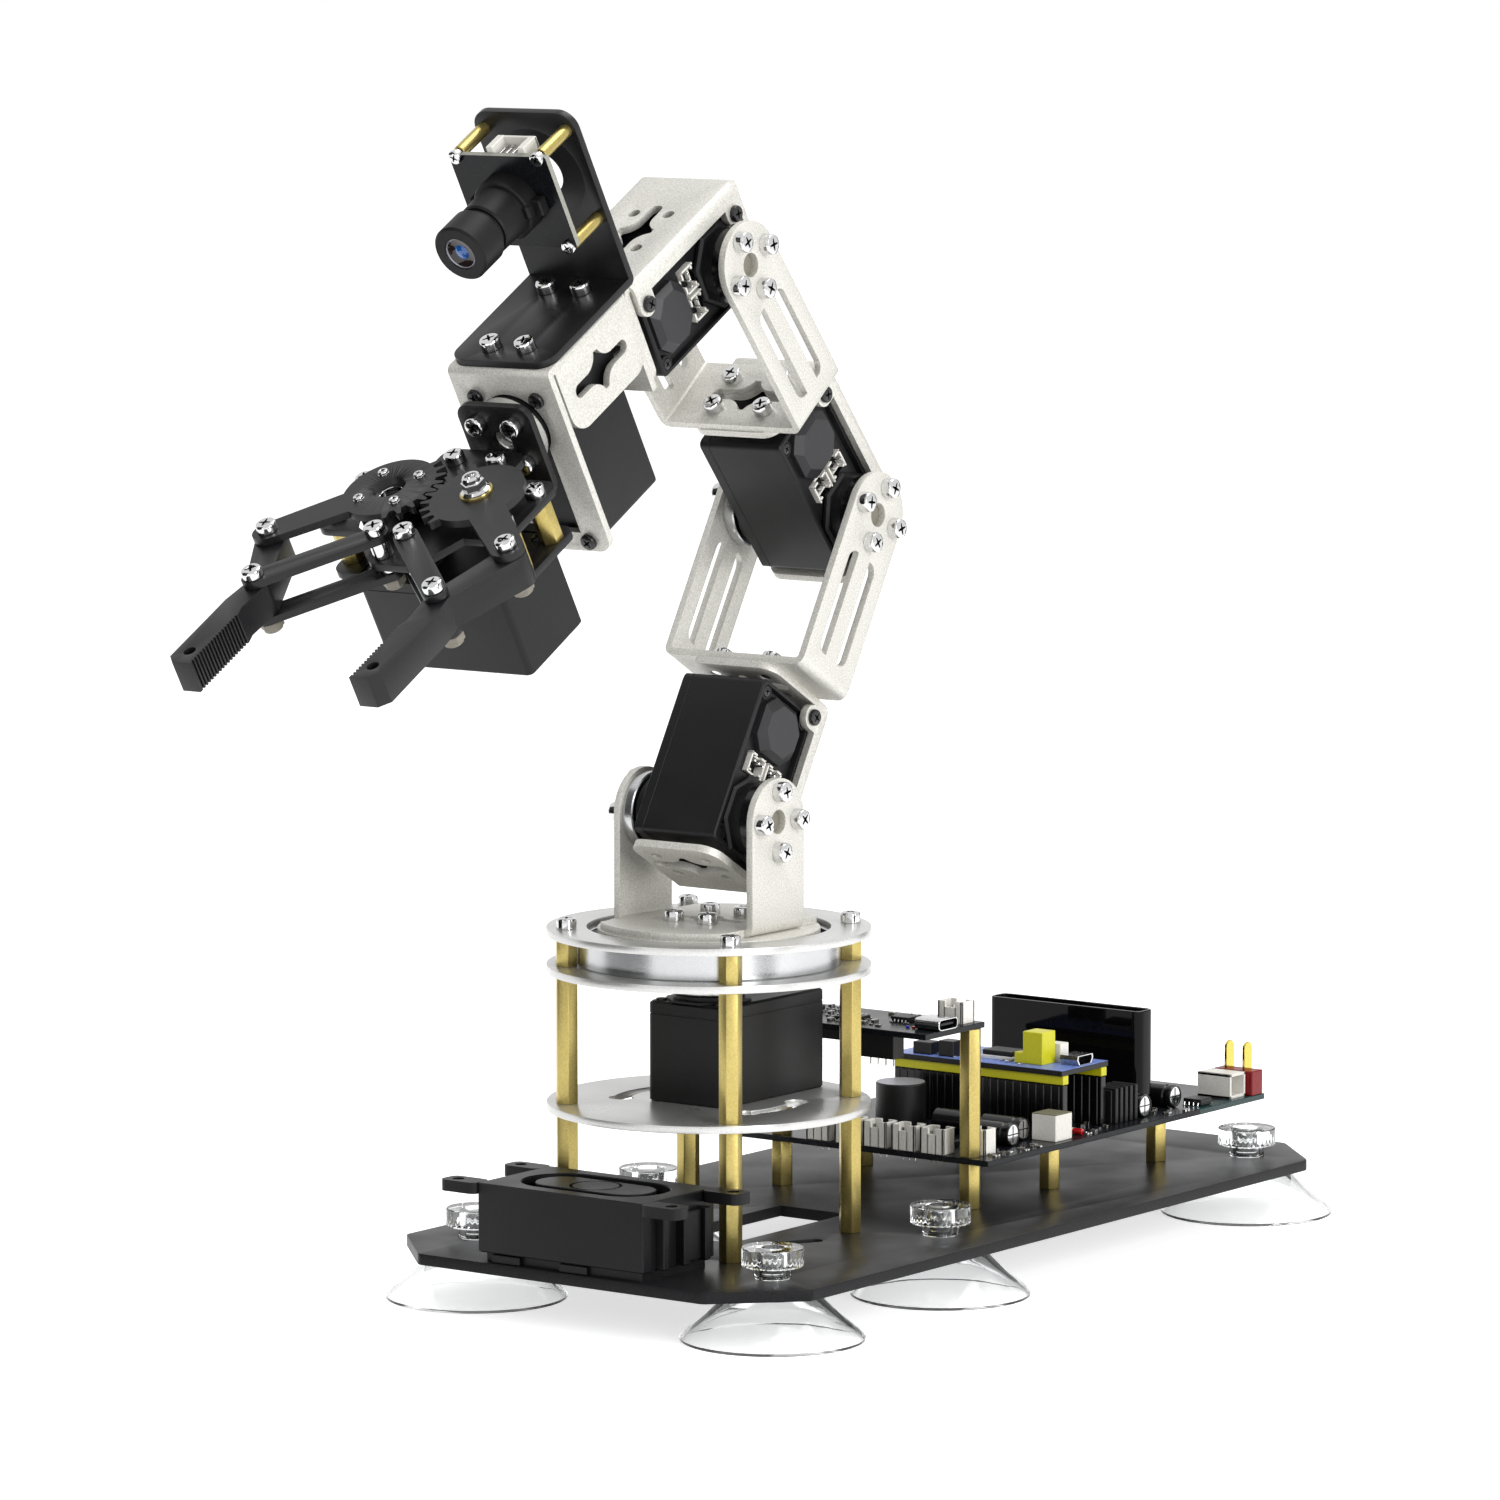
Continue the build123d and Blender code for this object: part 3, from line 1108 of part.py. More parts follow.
with BuildPart() as gripper_bolts:
    add_pivot_bolt(
        LINK_BASES,
        LOWER_BAR_LOW - 2 * PIN_CLEARANCE,
        [(BASE_TOP, GEAR_LOW - 2 * PIN_CLEARANCE), (LOWER_BAR_TOP + 2 * PIN_CLEARANCE, BASE_TOP - BAR_T)],
    )
    add_pivot_bolt([(GEAR_S, GEAR_X)], BASE_TOP - BAR_T, [(BASE_TOP, GEAR_LOW - 2 * PIN_CLEARANCE)])
    add_screws(lying(WRIST, BASE_TOP), GRIP_POSTS + TONGUE_SPOTS, BAR_T)
    add_screws(across(WRIST, MOUNT_BACK + SHEET), MOUNT_SPOTS, SHEET)
keep(gripper_bolts.part, "gripper_bolts")


# Gear cranks, links and fingers
def tooth_points(angle):
    """The four corners of a gear tooth pointing at an angle."""
    root = GEAR_ROOT_R - GEAR_TOOTH_SUNK
    corners = [
        (root, -GEAR_ROOT_TURN),
        (GEAR_TIP_R, -GEAR_TIP_TURN),
        (GEAR_TIP_R, GEAR_TIP_TURN),
        (root, GEAR_ROOT_TURN),
    ]
    points = []
    for radius, turn in corners:
        points.append((radius * cos(radians(angle + turn)), radius * sin(radians(angle + turn))))
    return points


def crank(side, shift):
    """Plan of one gear crank: side is +1 for the right one, shift moves its teeth by part of a pitch."""
    centre = (GEAR_S, side * GEAR_X)
    end = (GEAR_S + CRANK_SPAN_S, side * (GEAR_X + CRANK_SPAN_X))
    pitch = 360 / GEAR_TEETH
    facing = -90 * side
    with BuildSketch(lying(WRIST, GEAR_LOW)) as plan:
        with BuildSketch(mode=Mode.PRIVATE) as bar:
            with Locations(centre):
                Circle(CRANK_HUB_R)
            with Locations(end):
                Circle(CRANK_END_R)
            make_hull()
        add(bar.sketch)
        with Locations(centre):
            Circle(GEAR_ROOT_R)
            for index in range(GEAR_FIRST, GEAR_LAST + 1):
                Polygon(*tooth_points(facing + (index + shift) * pitch), align=None)
        with Locations(end):
            Circle(PIVOT_HOLE_R, mode=Mode.SUBTRACT)
        with Locations(centre):
            Circle(PIVOT_HOLE_R if side > 0 else GEAR_HOLE_R, mode=Mode.SUBTRACT)
    return plan.sketch


for side, name, shift in ((-1, "left_gear_crank", 0), (1, "right_gear_crank", 0.5)):
    with BuildPart() as gear_crank:
        extrude(crank(side, shift), amount=BAR_T)
        if side < 0:
            with BuildSketch(lying(WRIST, LOWER_BASE_TOP + BOSS_H + RUNNING_GAP)) as hub:
                with Locations((GEAR_S, -GEAR_X)):
                    Circle(GEAR_HUB_R)
                    Circle(HORN_BORE_R, mode=Mode.SUBTRACT)
            extrude(hub.sketch, amount=GEAR_LOW - LOWER_BASE_TOP - BOSS_H - RUNNING_GAP)
    keep(gear_crank.part, name)


def finger_plan(side):
    """Plan of one finger: a bar between its two pivots and a tapering tip with a grip face."""
    crank_end = (GEAR_S + CRANK_SPAN_S, side * (GEAR_X + CRANK_SPAN_X))
    link_end = (LINK_BASE_S + CRANK_SPAN_S, side * (LINK_BASE_X + CRANK_SPAN_X))
    with BuildSketch(lying(WRIST, FINGER_LOW)) as plan:
        with BuildSketch(mode=Mode.PRIVATE) as bar:
            with Locations(crank_end):
                Circle(CRANK_END_R)
            with Locations(link_end):
                Circle(LINK_END_R)
            make_hull()
        add(bar.sketch)
        Polygon(
            (link_end[0], side * (link_end[1] * side - LINK_END_R)),
            (GRIP_FROM_S - FINGER_STEP_IN, side * (FINGER_IN_X + FINGER_STEP_X)),
            (GRIP_FROM_S, side * FINGER_IN_X),
            (FINGER_TIP_S, side * FINGER_IN_X),
            (FINGER_TIP_S, side * (FINGER_OUT_X - FINGER_CHAMFER)),
            (FINGER_TIP_S - FINGER_CHAMFER, side * FINGER_OUT_X),
            (link_end[0] + LINK_END_R + FINGER_SHOULDER_RUN, side * FINGER_OUT_X),
            (link_end[0] - FINGER_HEEL, side * (link_end[1] * side + LINK_END_R)),
            align=None,
        )
        count = int((FINGER_TIP_S - GRIP_FROM_S) / GRIP_TOOTH)
        for index in range(count):
            with Locations((GRIP_FROM_S + (index + 0.75) * GRIP_TOOTH, side * FINGER_IN_X)):
                Rectangle(GRIP_TOOTH / 2, 2 * GRIP_TOOTH_DEPTH, mode=Mode.SUBTRACT)
        with Locations((FINGER_HOLE_S, side * FINGER_HOLE_X)):
            Circle(FINGER_HOLE_R, mode=Mode.SUBTRACT)
    return plan.sketch


for side, name in ((-1, "left_finger"), (1, "right_finger")):
    crank_end = (GEAR_S + CRANK_SPAN_S, side * (GEAR_X + CRANK_SPAN_X))
    link_end = (LINK_BASE_S + CRANK_SPAN_S, side * (LINK_BASE_X + CRANK_SPAN_X))
    with BuildPart() as finger:
        extrude(finger_plan(side), amount=FINGER_HIGH - FINGER_LOW)
        add_pivot_bolt([crank_end], FINGER_LOW, [])
        add_pivot_bolt([link_end], LOWER_BAR_LOW - 2 * PIN_CLEARANCE, [])
    keep(finger.part, name)

for side, name in ((-1, "left_link"), (1, "right_link")):
    base = (LINK_BASE_S, side * LINK_BASE_X)
    link_end = (LINK_BASE_S + CRANK_SPAN_S, side * (LINK_BASE_X + CRANK_SPAN_X))
    with BuildPart() as bars:
        for low in (GEAR_LOW, LOWER_BAR_LOW):
            with BuildSketch(lying(WRIST, low)) as plan:
                with Locations(base, link_end):
                    Circle(LINK_END_R)
                make_hull()
                with Locations(base, link_end):
                    Circle(PIVOT_HOLE_R, mode=Mode.SUBTRACT)
            extrude(amount=BAR_T)
    keep(bars.part, name)

# Speaker
SPEAKER_MID_Y = (SPEAKER_FRONT + SPEAKER_BACK) / 2
SPEAKER_DEPTH = SPEAKER_BACK - SPEAKER_FRONT
SPEAKER_TOP = PLATE_TOP + SPEAKER_H
with BuildPart() as speaker_box:
    with BuildSketch(Plane.XY.offset(PLATE_TOP)):
        with Locations((0, SPEAKER_MID_Y)):
            Rectangle(2 * (SPEAKER_HALF_X - SPEAKER_FOOT_IN), SPEAKER_DEPTH - 2 * SPEAKER_FOOT_IN)
    extrude(amount=SPEAKER_FOOT_H)
    with BuildSketch(Plane.XY.offset(PLATE_TOP + SPEAKER_FOOT_H)):
        with Locations((0, SPEAKER_MID_Y)):
            Rectangle(2 * SPEAKER_HALF_X, SPEAKER_DEPTH)
    extrude(amount=SPEAKER_H - SPEAKER_FOOT_H)
    with BuildSketch(Plane.XY.offset(SPEAKER_TOP - EAR_T)):
        for place in (SPEAKER_FRONT + FRONT_EAR_IN, SPEAKER_BACK - BACK_EAR_IN):
            with Locations((0, place)):
                RectangleRounded(2 * EAR_HALF_X, EAR_WIDTH, EAR_CORNER)
            with Locations((EAR_HOLE_X, place), (-EAR_HOLE_X, place)):
                Circle(SCREW_HOLE_R, mode=Mode.SUBTRACT)
        with Locations((0, SPEAKER_MID_Y)):
            Rectangle(2 * SPEAKER_HALF_X, SPEAKER_DEPTH)
    extrude(amount=EAR_T)
    with BuildSketch(Plane.XY.offset(SPEAKER_TOP)):
        with Locations((0, SPEAKER_MID_Y)):
            SlotOverall(OVAL_LONG, OVAL_SHORT)
    extrude(amount=-OVAL_DEPTH, mode=Mode.SUBTRACT)
keep(speaker_box.part, "speaker_box")

with BuildPart() as speaker_cone:
    with BuildSketch(Plane.XY.offset(SPEAKER_TOP - OVAL_DEPTH)):
        with Locations((0, SPEAKER_MID_Y)):
            SlotOverall(OVAL_LONG - 2 * CONE_GAP, OVAL_SHORT - 2 * CONE_GAP)
            inside = 2 * (CONE_GAP + CONE_RIM)
            SlotOverall(OVAL_LONG - inside, OVAL_SHORT - inside, mode=Mode.SUBTRACT)
            Circle(CONE_OUT_R)
            Circle(CONE_IN_R, mode=Mode.SUBTRACT)
    extrude(amount=CONE_H)
keep(speaker_cone.part, "speaker_cone")


# Electronics
def block(x, y, z, size):
    """A plain component standing on a board, given by its middle, its foot and its sizes."""
    with BuildSketch(Plane.XY.offset(z)) as foot:
        with Locations((x, y)):
            Rectangle(size[0], size[1])
    extrude(foot.sketch, amount=size[2])


def board_spot(place):
    """A place on the main board, measured from the turning axis."""
    return (place[0], BOARD_NEAR + place[1])


BOARD_TOP = BOARD_Z + BOARD_T
BOARD_MID = ((BOARD_LEFT + BOARD_RIGHT) / 2, BOARD_NEAR + BOARD_LENGTH / 2)
with BuildPart() as main_board:
    block(*BOARD_MID, BOARD_Z, (BOARD_RIGHT - BOARD_LEFT, BOARD_LENGTH, BOARD_T))
keep(main_board.part, "main_board")

with BuildPart() as board_standoffs:
    with BuildSketch(Plane.XY.offset(PLATE_TOP)):
        with Locations(*[board_spot((x, y)) for x in BOARD_POSTS_X for y in BOARD_POSTS_Y]):
            RegularPolygon(HEX_FLATS / 2, 6, major_radius=False)
    extrude(amount=BOARD_Z - PLATE_TOP)
    with BuildSketch(Plane.XY.offset(BOARD_TOP)):
        with Locations(*[board_spot((x, BOARD_POSTS_Y[0])) for x in BOARD_POSTS_X]):
            RegularPolygon(HEX_FLATS / 2, 6, major_radius=False)
    extrude(amount=UPPER_BOARD_Z - BOARD_TOP)
keep(board_standoffs.part, "board_standoffs")

UPPER_MID_Y = BOARD_NEAR + UPPER_MID_IN
UPPER_TOP = UPPER_BOARD_Z + BOARD_T
UPPER_RIGHT = UPPER_MID_X + UPPER_LENGTH / 2
UPPER_PLUG_X = UPPER_RIGHT - UPPER_PLUG_END - UPPER_PLUG_SIZE[0] / 2
with BuildPart() as upper_board:
    block(UPPER_MID_X, UPPER_MID_Y, UPPER_BOARD_Z, (UPPER_LENGTH, UPPER_WIDTH, BOARD_T))
    block(UPPER_RIGHT - USB_SIZE[0] / 2, UPPER_MID_Y - USB_SIDE, UPPER_TOP, USB_SIZE)
    block(UPPER_PLUG_X, UPPER_MID_Y + UPPER_PLUG_SIDE, UPPER_TOP, UPPER_PLUG_SIZE)
keep(upper_board.part, "upper_board")

CORE_MID_Y = BOARD_NEAR + CORE_MID_IN
with BuildPart() as header_strips:
    for side in (-1, 1):
        block(
            CORE_MID_X,
            CORE_MID_Y + side * HEADER_STEP / 2,
            BOARD_TOP,
            (CORE_LENGTH, HEADER_WIDTH, CORE_Z - BOARD_TOP),
        )
keep(header_strips.part, "header_strips")

CORE_TOP = CORE_Z + BOARD_T
with BuildPart() as core_board:
    block(CORE_MID_X, CORE_MID_Y, CORE_Z, (CORE_LENGTH, CORE_WIDTH, BOARD_T))
    block(CORE_MID_X + CORE_BLOCK_SPOT[0], CORE_MID_Y + CORE_BLOCK_SPOT[1], CORE_TOP, CORE_BLOCK_SIZE)
    block(CORE_MID_X + CORE_USB_SPOT[0], CORE_MID_Y + CORE_USB_SPOT[1], CORE_TOP, CORE_USB_SIZE)
keep(core_board.part, "core_board")

with BuildPart() as servo_sockets:
    for index in range(SERVO_SOCKETS):
        inwards = SERVO_SOCKET_IN if index else CORNER_SOCKET_IN
        x, y = board_spot((SERVO_SOCKET_RIGHT - index * SERVO_SOCKET_STEP, inwards))
        block(x, y, BOARD_TOP, SERVO_SOCKET_SIZE)
keep(servo_sockets.part, "servo_sockets")

with BuildPart() as capacitors:
    for spot in CAN_SPOTS:
        x, y = board_spot(spot)
        lying_can = Plane(origin=(x - CAN_LENGTH / 2, y, BOARD_TOP + CAN_R), x_dir=(0, 1, 0), z_dir=(1, 0, 0))
        with BuildSketch(lying_can) as can:
            Circle(CAN_R)
        extrude(can.sketch, amount=CAN_LENGTH)
keep(capacitors.part, "capacitors")

with BuildPart() as board_chips:
    with BuildSketch(Plane.XY.offset(BOARD_TOP)) as coil:
        with Locations(board_spot(COIL_SPOT)):
            Circle(COIL_R)
    extrude(coil.sketch, amount=COIL_H)
    block(*board_spot(RELAY_SPOT), BOARD_TOP, RELAY_SIZE)
    block(*board_spot(HEAT_SINK_SPOT), BOARD_TOP, HEAT_SINK_SIZE)
    block(*board_spot(CHIP_SPOT), BOARD_TOP, CHIP_SIZE)
    block(*board_spot(TERMINAL_SPOT), BOARD_TOP, TERMINAL_SIZE)
keep(board_chips.part, "board_chips")

with BuildPart() as power_connector:
    x, y = board_spot(POWER_SPOT)
    block(x, y, BOARD_TOP, POWER_SIZE)
    for side in (-1, 1):
        block(x + side * BLADE_HALF_STEP, y, BOARD_TOP + POWER_SIZE[2], BLADE_SIZE)
keep(power_connector.part, "power_connector")

with BuildPart() as interface_module:
    with BuildSketch(Plane.XY.offset(BOARD_TOP)) as module:
        with Locations(board_spot(MODULE_SPOT)):
            RectangleRounded(MODULE_LENGTH, MODULE_WIDTH, MODULE_CORNER)
    extrude(module.sketch, amount=MODULE_H)
keep(interface_module.part, "interface_module")
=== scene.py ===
import json
from math import cos, pi, radians, sin

import bmesh
import bpy
import numpy as np
from bpy.props import FloatProperty, FloatVectorProperty
from mathutils import Matrix, Vector


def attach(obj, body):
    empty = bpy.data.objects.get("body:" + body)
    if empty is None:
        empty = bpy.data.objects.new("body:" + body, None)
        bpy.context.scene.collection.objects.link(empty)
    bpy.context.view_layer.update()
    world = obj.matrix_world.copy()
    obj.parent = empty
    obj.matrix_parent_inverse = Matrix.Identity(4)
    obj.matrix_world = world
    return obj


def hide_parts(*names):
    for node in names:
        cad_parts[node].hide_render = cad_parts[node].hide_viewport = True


bl_info = {
    "name": "Desktop robot arm",
    "version": (1, 0, 0),
    "blender": (4, 5, 0),
    "location": "View3D > Sidebar > Robot arm",
    "description": "Dresses the packed robot arm with its finishes, fasteners and board parts",
    "category": "Add Mesh",
}

MM = 0.001
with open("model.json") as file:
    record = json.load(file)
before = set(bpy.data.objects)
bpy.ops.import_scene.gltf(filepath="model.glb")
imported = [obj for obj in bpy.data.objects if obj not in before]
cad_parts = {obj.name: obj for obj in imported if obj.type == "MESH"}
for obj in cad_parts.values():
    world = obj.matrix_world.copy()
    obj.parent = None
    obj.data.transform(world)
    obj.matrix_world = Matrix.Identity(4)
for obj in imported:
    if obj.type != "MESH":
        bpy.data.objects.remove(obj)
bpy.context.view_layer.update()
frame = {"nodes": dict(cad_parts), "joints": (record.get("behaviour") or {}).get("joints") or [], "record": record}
JOINTS = {joint["name"]: joint for joint in frame["joints"]}
BODY_OF = {node: body for body, nodes in frame["record"]["behaviour"]["bodies"].items() for node in nodes}
SLOT_OF = {part["node"]: part["material_slot"] for part in frame["record"]["subparts"]}


def pivot(name):
    """Where a joint of the frame stands."""
    return Vector(JOINTS[name]["pos_m"])


# Frames of the moving sections: X along the section, Y towards its back, Z towards the servo horns.
TURN = pivot("base_yaw")
SHOULDER = pivot("shoulder_pitch")
ELBOW = pivot("elbow_pitch")
WRIST = pivot("wrist_pitch")
FORWARD = Vector(JOINTS["wrist_roll"]["axis"]).normalized()
HORN_SIDE = Vector((-1, 0, 0))


def section(origin, along):
    """Matrix of a section's frame."""
    along = along.normalized()
    back = HORN_SIDE.cross(along)
    return Matrix.Translation(origin) @ Matrix((along, back, HORN_SIDE)).transposed().to_4x4()


BASE = Matrix.Translation(Vector((TURN.x, TURN.y, 0)))
SHOULDER_FOOT = section(SHOULDER, Vector((0, 0, 1)))
UPPER_ARM = section(SHOULDER, ELBOW - SHOULDER)
FOREARM = section(ELBOW, WRIST - ELBOW)
HAND = section(WRIST, FORWARD)
# Pivot to pivot along one section, in millimetres.
LINK = (ELBOW - SHOULDER).length / MM


def spot(place, x, y, z=0.0, turn=None):
    """A place in a frame, given in millimetres, with an optional turn applied there."""
    moved = place @ Matrix.Translation(Vector((x, y, z)) * MM)
    return moved if turn is None else moved @ turn


def turned(angle, axis):
    """Turn about one axis by an angle in degrees."""
    return Matrix.Rotation(radians(angle), 4, axis)


# Meshes
HERE = Matrix.Identity(4)
# Edges that turn by more than this stay sharp, and those of a solid that turn by more than BENT are rounded.
SHARP = radians(28)
BENT = radians(35)


def made(bm, name):
    """Mesh from a finished bmesh, with its faces looking outwards."""
    bmesh.ops.recalc_face_normals(bm, faces=bm.faces)
    mesh = bpy.data.meshes.new(name)
    bm.to_mesh(mesh)
    bm.free()
    mesh.set_sharp_from_angle(angle=SHARP)
    return mesh


def placed(name, data):
    """A new object in the scene."""
    new = bpy.data.objects.new(name, data)
    bpy.context.scene.collection.objects.link(new)
    return new


def stand_in(node, mesh, finishes):
    """A named piece that replaces one node and keeps its body."""
    shown = placed(node + "_piece", mesh)
    for finish in finishes:
        mesh.materials.append(finished(finish))
    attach(shown, BODY_OF[node])
    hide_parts(node)


def add_hull(bm, points, place, index=0):
    """Convex form through points in millimetres."""
    corners = [bm.verts.new(place @ (Vector(point) * MM)) for point in points]
    found = bmesh.ops.convex_hull(bm, input=corners)
    for item in found["geom"]:
        if isinstance(item, bmesh.types.BMFace):
            item.material_index = index
            item.smooth = True


def add_brick(bm, centre, size, place, edge=0.15, index=0):
    """Block with broken edges, given by its middle and its three sizes."""
    points = []
    half = [length / 2 for length in size]
    for sx in (-1, 1):
        for sy in (-1, 1):
            for sz in (-1, 1):
                for kept in range(3):
                    reach = [half[axis] - (0 if axis == kept else edge) for axis in range(3)]
                    points.append([centre[axis] + sign * reach[axis] for axis, sign in enumerate((sx, sy, sz))])
    add_hull(bm, points, place, index)


def add_bricks(bm, place, rows):
    """Blocks from rows of middle, three sizes, broken edge and material number."""
    for middle, size, edge, index in rows:
        add_brick(bm, middle, size, place, edge, index)


def add_prism(bm, outline, low, high, place, edge=0.15, index=0):
    """Upright convex form with broken top and bottom edges."""
    middle = Vector((sum(x for x, _ in outline), sum(y for _, y in outline))) / len(outline)
    points = []
    for x, y in outline:
        arm = Vector((x, y)) - middle
        inner = middle + arm * (1 - edge / max(arm.length, edge))
        points += [(x, y, low + edge), (x, y, high - edge), (inner.x, inner.y, low), (inner.x, inner.y, high)]
    add_hull(bm, points, place, index)


def circle(radius, steps, x=0.0, y=0.0, start=0.0):
    """Points round a circle."""
    return [
        (x + radius * cos(2 * pi * (step + start) / steps), y + radius * sin(2 * pi * (step + start) / steps))
        for step in range(steps)
    ]


def add_lathe(bm, profile, place, steps=48, index=0, closed=False):
    """Turned form: (radius, height) points in millimetres, turned about Z of a place."""
    rings = [
        loop(bm, circle(radius, steps) if radius else [(0, 0)], height, place) for radius, height in profile
    ]
    pairs = list(zip(rings, rings[1:])) + ([(rings[-1], rings[0])] if closed else [])
    for low, high in pairs:
        for step in range(steps):
            nxt = (step + 1) % steps
            corners = []
            for ring, order in ((low, (step, nxt)), (high, (nxt, step))):
                corners += ring if len(ring) == 1 else [ring[number] for number in order]
            if len(corners) > 2:
                face = bm.faces.new(corners)
                face.material_index = index
                face.smooth = True


def loop(bm, points, height, place):
    """Ring of vertices through points in millimetres at one height."""
    return [bm.verts.new(place @ (Vector((x, y, height)) * MM)) for x, y in points]


def wall(bm, low, high, index=0):
    """Faces between two rings of the same count."""
    for step in range(len(low)):
        nxt = (step + 1) % len(low)
        face = bm.faces.new((low[step], low[nxt], high[nxt], high[step]))
        face.material_index = index
        face.smooth = True


def walls(bm, rings, index=0):
    """Faces between each ring and the next one."""
    for low, high in zip(rings, rings[1:]):
        wall(bm, low, high, index)


def web(bm, rings, index=0):
    """Flat face between an outer ring and the rings inside it."""
    edges = []
    for ring in rings:
        for start, end in zip(ring, ring[1:] + ring[:1]):
            edges.append(bm.edges.get((start, end)) or bm.edges.new((start, end)))
    for item in bmesh.ops.triangle_fill(bm, edges=edges, use_beauty=True)["geom"]:
        if isinstance(item, bmesh.types.BMFace):
            item.material_index = index


def rounded(x_low, x_high, y_low, y_high, radius, steps=4):
    """Outline of a rectangle with round corners."""
    points = []
    for x, y, start in (
        (x_high - radius, y_high - radius, 0),
        (x_low + radius, y_high - radius, 1),
        (x_low + radius, y_low + radius, 2),
        (x_high - radius, y_low + radius, 3),
    ):
        for step in range(steps + 1):
            angle = (start + step / steps) * pi / 2
            points.append((x + radius * cos(angle), y + radius * sin(angle)))
    return points


def add_tube(bm, points, radius, place, steps=10, index=0):
    """Round wire through points in millimetres."""
    path = [Vector(point) for point in points]
    rings = []
    for number, point in enumerate(path):
        ahead = path[min(number + 1, len(path) - 1)] - path[max(number - 1, 0)]
        turn = ahead.to_track_quat("Z", "Y").to_matrix()
        rings.append(
            [bm.verts.new(place @ ((point + turn @ Vector((x, y, 0))) * MM)) for x, y in circle(radius, steps)]
        )
    walls(bm, rings, index)
    for ring in (rings[0], rings[-1]):
        bm.faces.new(ring).material_index = index


def put(bm, mesh, place, index=0):
    """Add a copy of a small mesh at a place; its material numbers go up by index."""
    verts, faces = len(bm.verts), len(bm.faces)
    bm.from_mesh(mesh)
    bm.verts.ensure_lookup_table()
    bm.faces.ensure_lookup_table()
    for vert in bm.verts[verts:]:
        vert.co = place @ vert.co
    for face in bm.faces[faces:]:
        face.material_index += index


def softened(node, crisp=False):
    """Copy of a node's mesh with its sharp edges rounded, or kept crisp."""
    bm = bmesh.new()
    bm.from_mesh(frame["nodes"][node].data)
    bmesh.ops.remove_doubles(bm, verts=bm.verts, dist=1e-6)
    bmesh.ops.dissolve_limit(bm, angle_limit=radians(0.6), verts=bm.verts, edges=bm.edges)
    sharp = [line for line in bm.edges if len(line.link_faces) == 2 and line.calc_face_angle() > BENT]
    for face in bm.faces:
        bends = [line.calc_face_angle() for line in face.edges if len(line.link_faces) == 2]
        face.smooth = any(radians(0.7) < bend <= BENT for bend in bends)
    if not crisp:
        width = bpy.context.scene.arm_looks.edge_width
        new = bmesh.ops.bevel(
            bm, geom=sharp, offset=width, segments=2, profile=0.6, affect="EDGES", clamp_overlap=True
        )
        for face in new["faces"]:
            face.smooth = True
    bmesh.ops.triangulate(bm, faces=[face for face in bm.faces if len(face.verts) > 4])
    for face in bm.faces:
        face.material_index = 0
    mesh = bpy.data.meshes.new(node + "_soft")
    bm.to_mesh(mesh)
    bm.free()
    mesh.set_sharp_from_angle(angle=SHARP)
    return mesh


def solids(node):
    """The vertices of each solid of a node, as arrays."""
    bm = bmesh.new()
    bm.from_mesh(frame["nodes"][node].data)
    bmesh.ops.remove_doubles(bm, verts=bm.verts, dist=1e-6)
    left, found = set(bm.verts), []
    while left:
        grown, edge = set(), [left.pop()]
        while edge:
            vert = edge.pop()
            grown.add(vert)
            for line in vert.link_edges:
                other = line.other_vert(vert)
                if other in left:
                    left.discard(other)
                    edge.append(other)
        found.append(np.array([tuple(vert.co) for vert in grown]))
    bm.free()
    return sorted(found, key=lambda points: tuple(points.mean(0).round(5)))


def screw_places(node, shank=1.6):
    """Where each screw of a node seats, with Z out of its head, and the head's radius in millimetres."""
    places = []
    for points in solids(node):
        middle = (points.max(0) + points.min(0)) / 2
        _, sizes, rows = np.linalg.svd(points - points.mean(0), full_matrices=False)
        axis = rows[0] if sizes[0] - sizes[1] > sizes[1] - sizes[2] else rows[2]
        height = (points - middle) @ axis
        foot = points - np.outer(height, axis)
        middle = foot.mean(0)
        reach = np.linalg.norm(foot - middle, axis=1)
        wide = reach > shank * MM
        if height[wide].mean() < height[~wide].mean():
            axis, height = -axis, -height
        seat = middle + axis * height[wide].min()
        turn = Vector(axis).to_track_quat("Z", "Y").to_matrix().to_4x4()
        places.append((Matrix.Translation(Vector(seat)) @ turn, reach.max() / MM))
    return places


# Fasteners
def cross(reach, width):
    """Outline of a cross recess."""
    half = width / 2
    flare = half * 0.55
    quarter = [(reach, -flare), (reach, flare), (half, half)]
    points = []
    for turn in range(4):
        c, s = cos(turn * pi / 2), sin(turn * pi / 2)
        points += [(x * c - y * s, x * s + y * c) for x, y in quarter]
    return points


def cross_head(name, radius, height, shank):
    """Screw with a turned head and a sunk cross, its seat at the origin."""
    bm = bmesh.new()
    rim = radius * 0.78
    outline = cross(radius * 0.6, radius * 0.28)
    top, mouth = loop(bm, circle(rim, 32), height, HERE), loop(bm, outline, height, HERE)
    web(bm, [top, mouth])
    # The sunk cross's walls and floor take the second finish: painted shade.
    floor = loop(bm, [(x * 0.55, y * 0.55) for x, y in outline], height - radius * 0.5, HERE)
    wall(bm, mouth, floor, 1)
    bm.faces.new(floor).material_index = 1
    side = [(rim, height), (radius * 0.92, height - radius * 0.07), (radius * 0.98, height - radius * 0.16),
            (radius, height - radius * 0.3), (radius, 0.1), (radius - 0.1, 0), (1.5, 0), (1.5, -shank), (0, -shank)]
    add_lathe(bm, side, HERE, 32)
    bmesh.ops.remove_doubles(bm, verts=bm.verts, dist=1e-7)
    return made(bm, name)


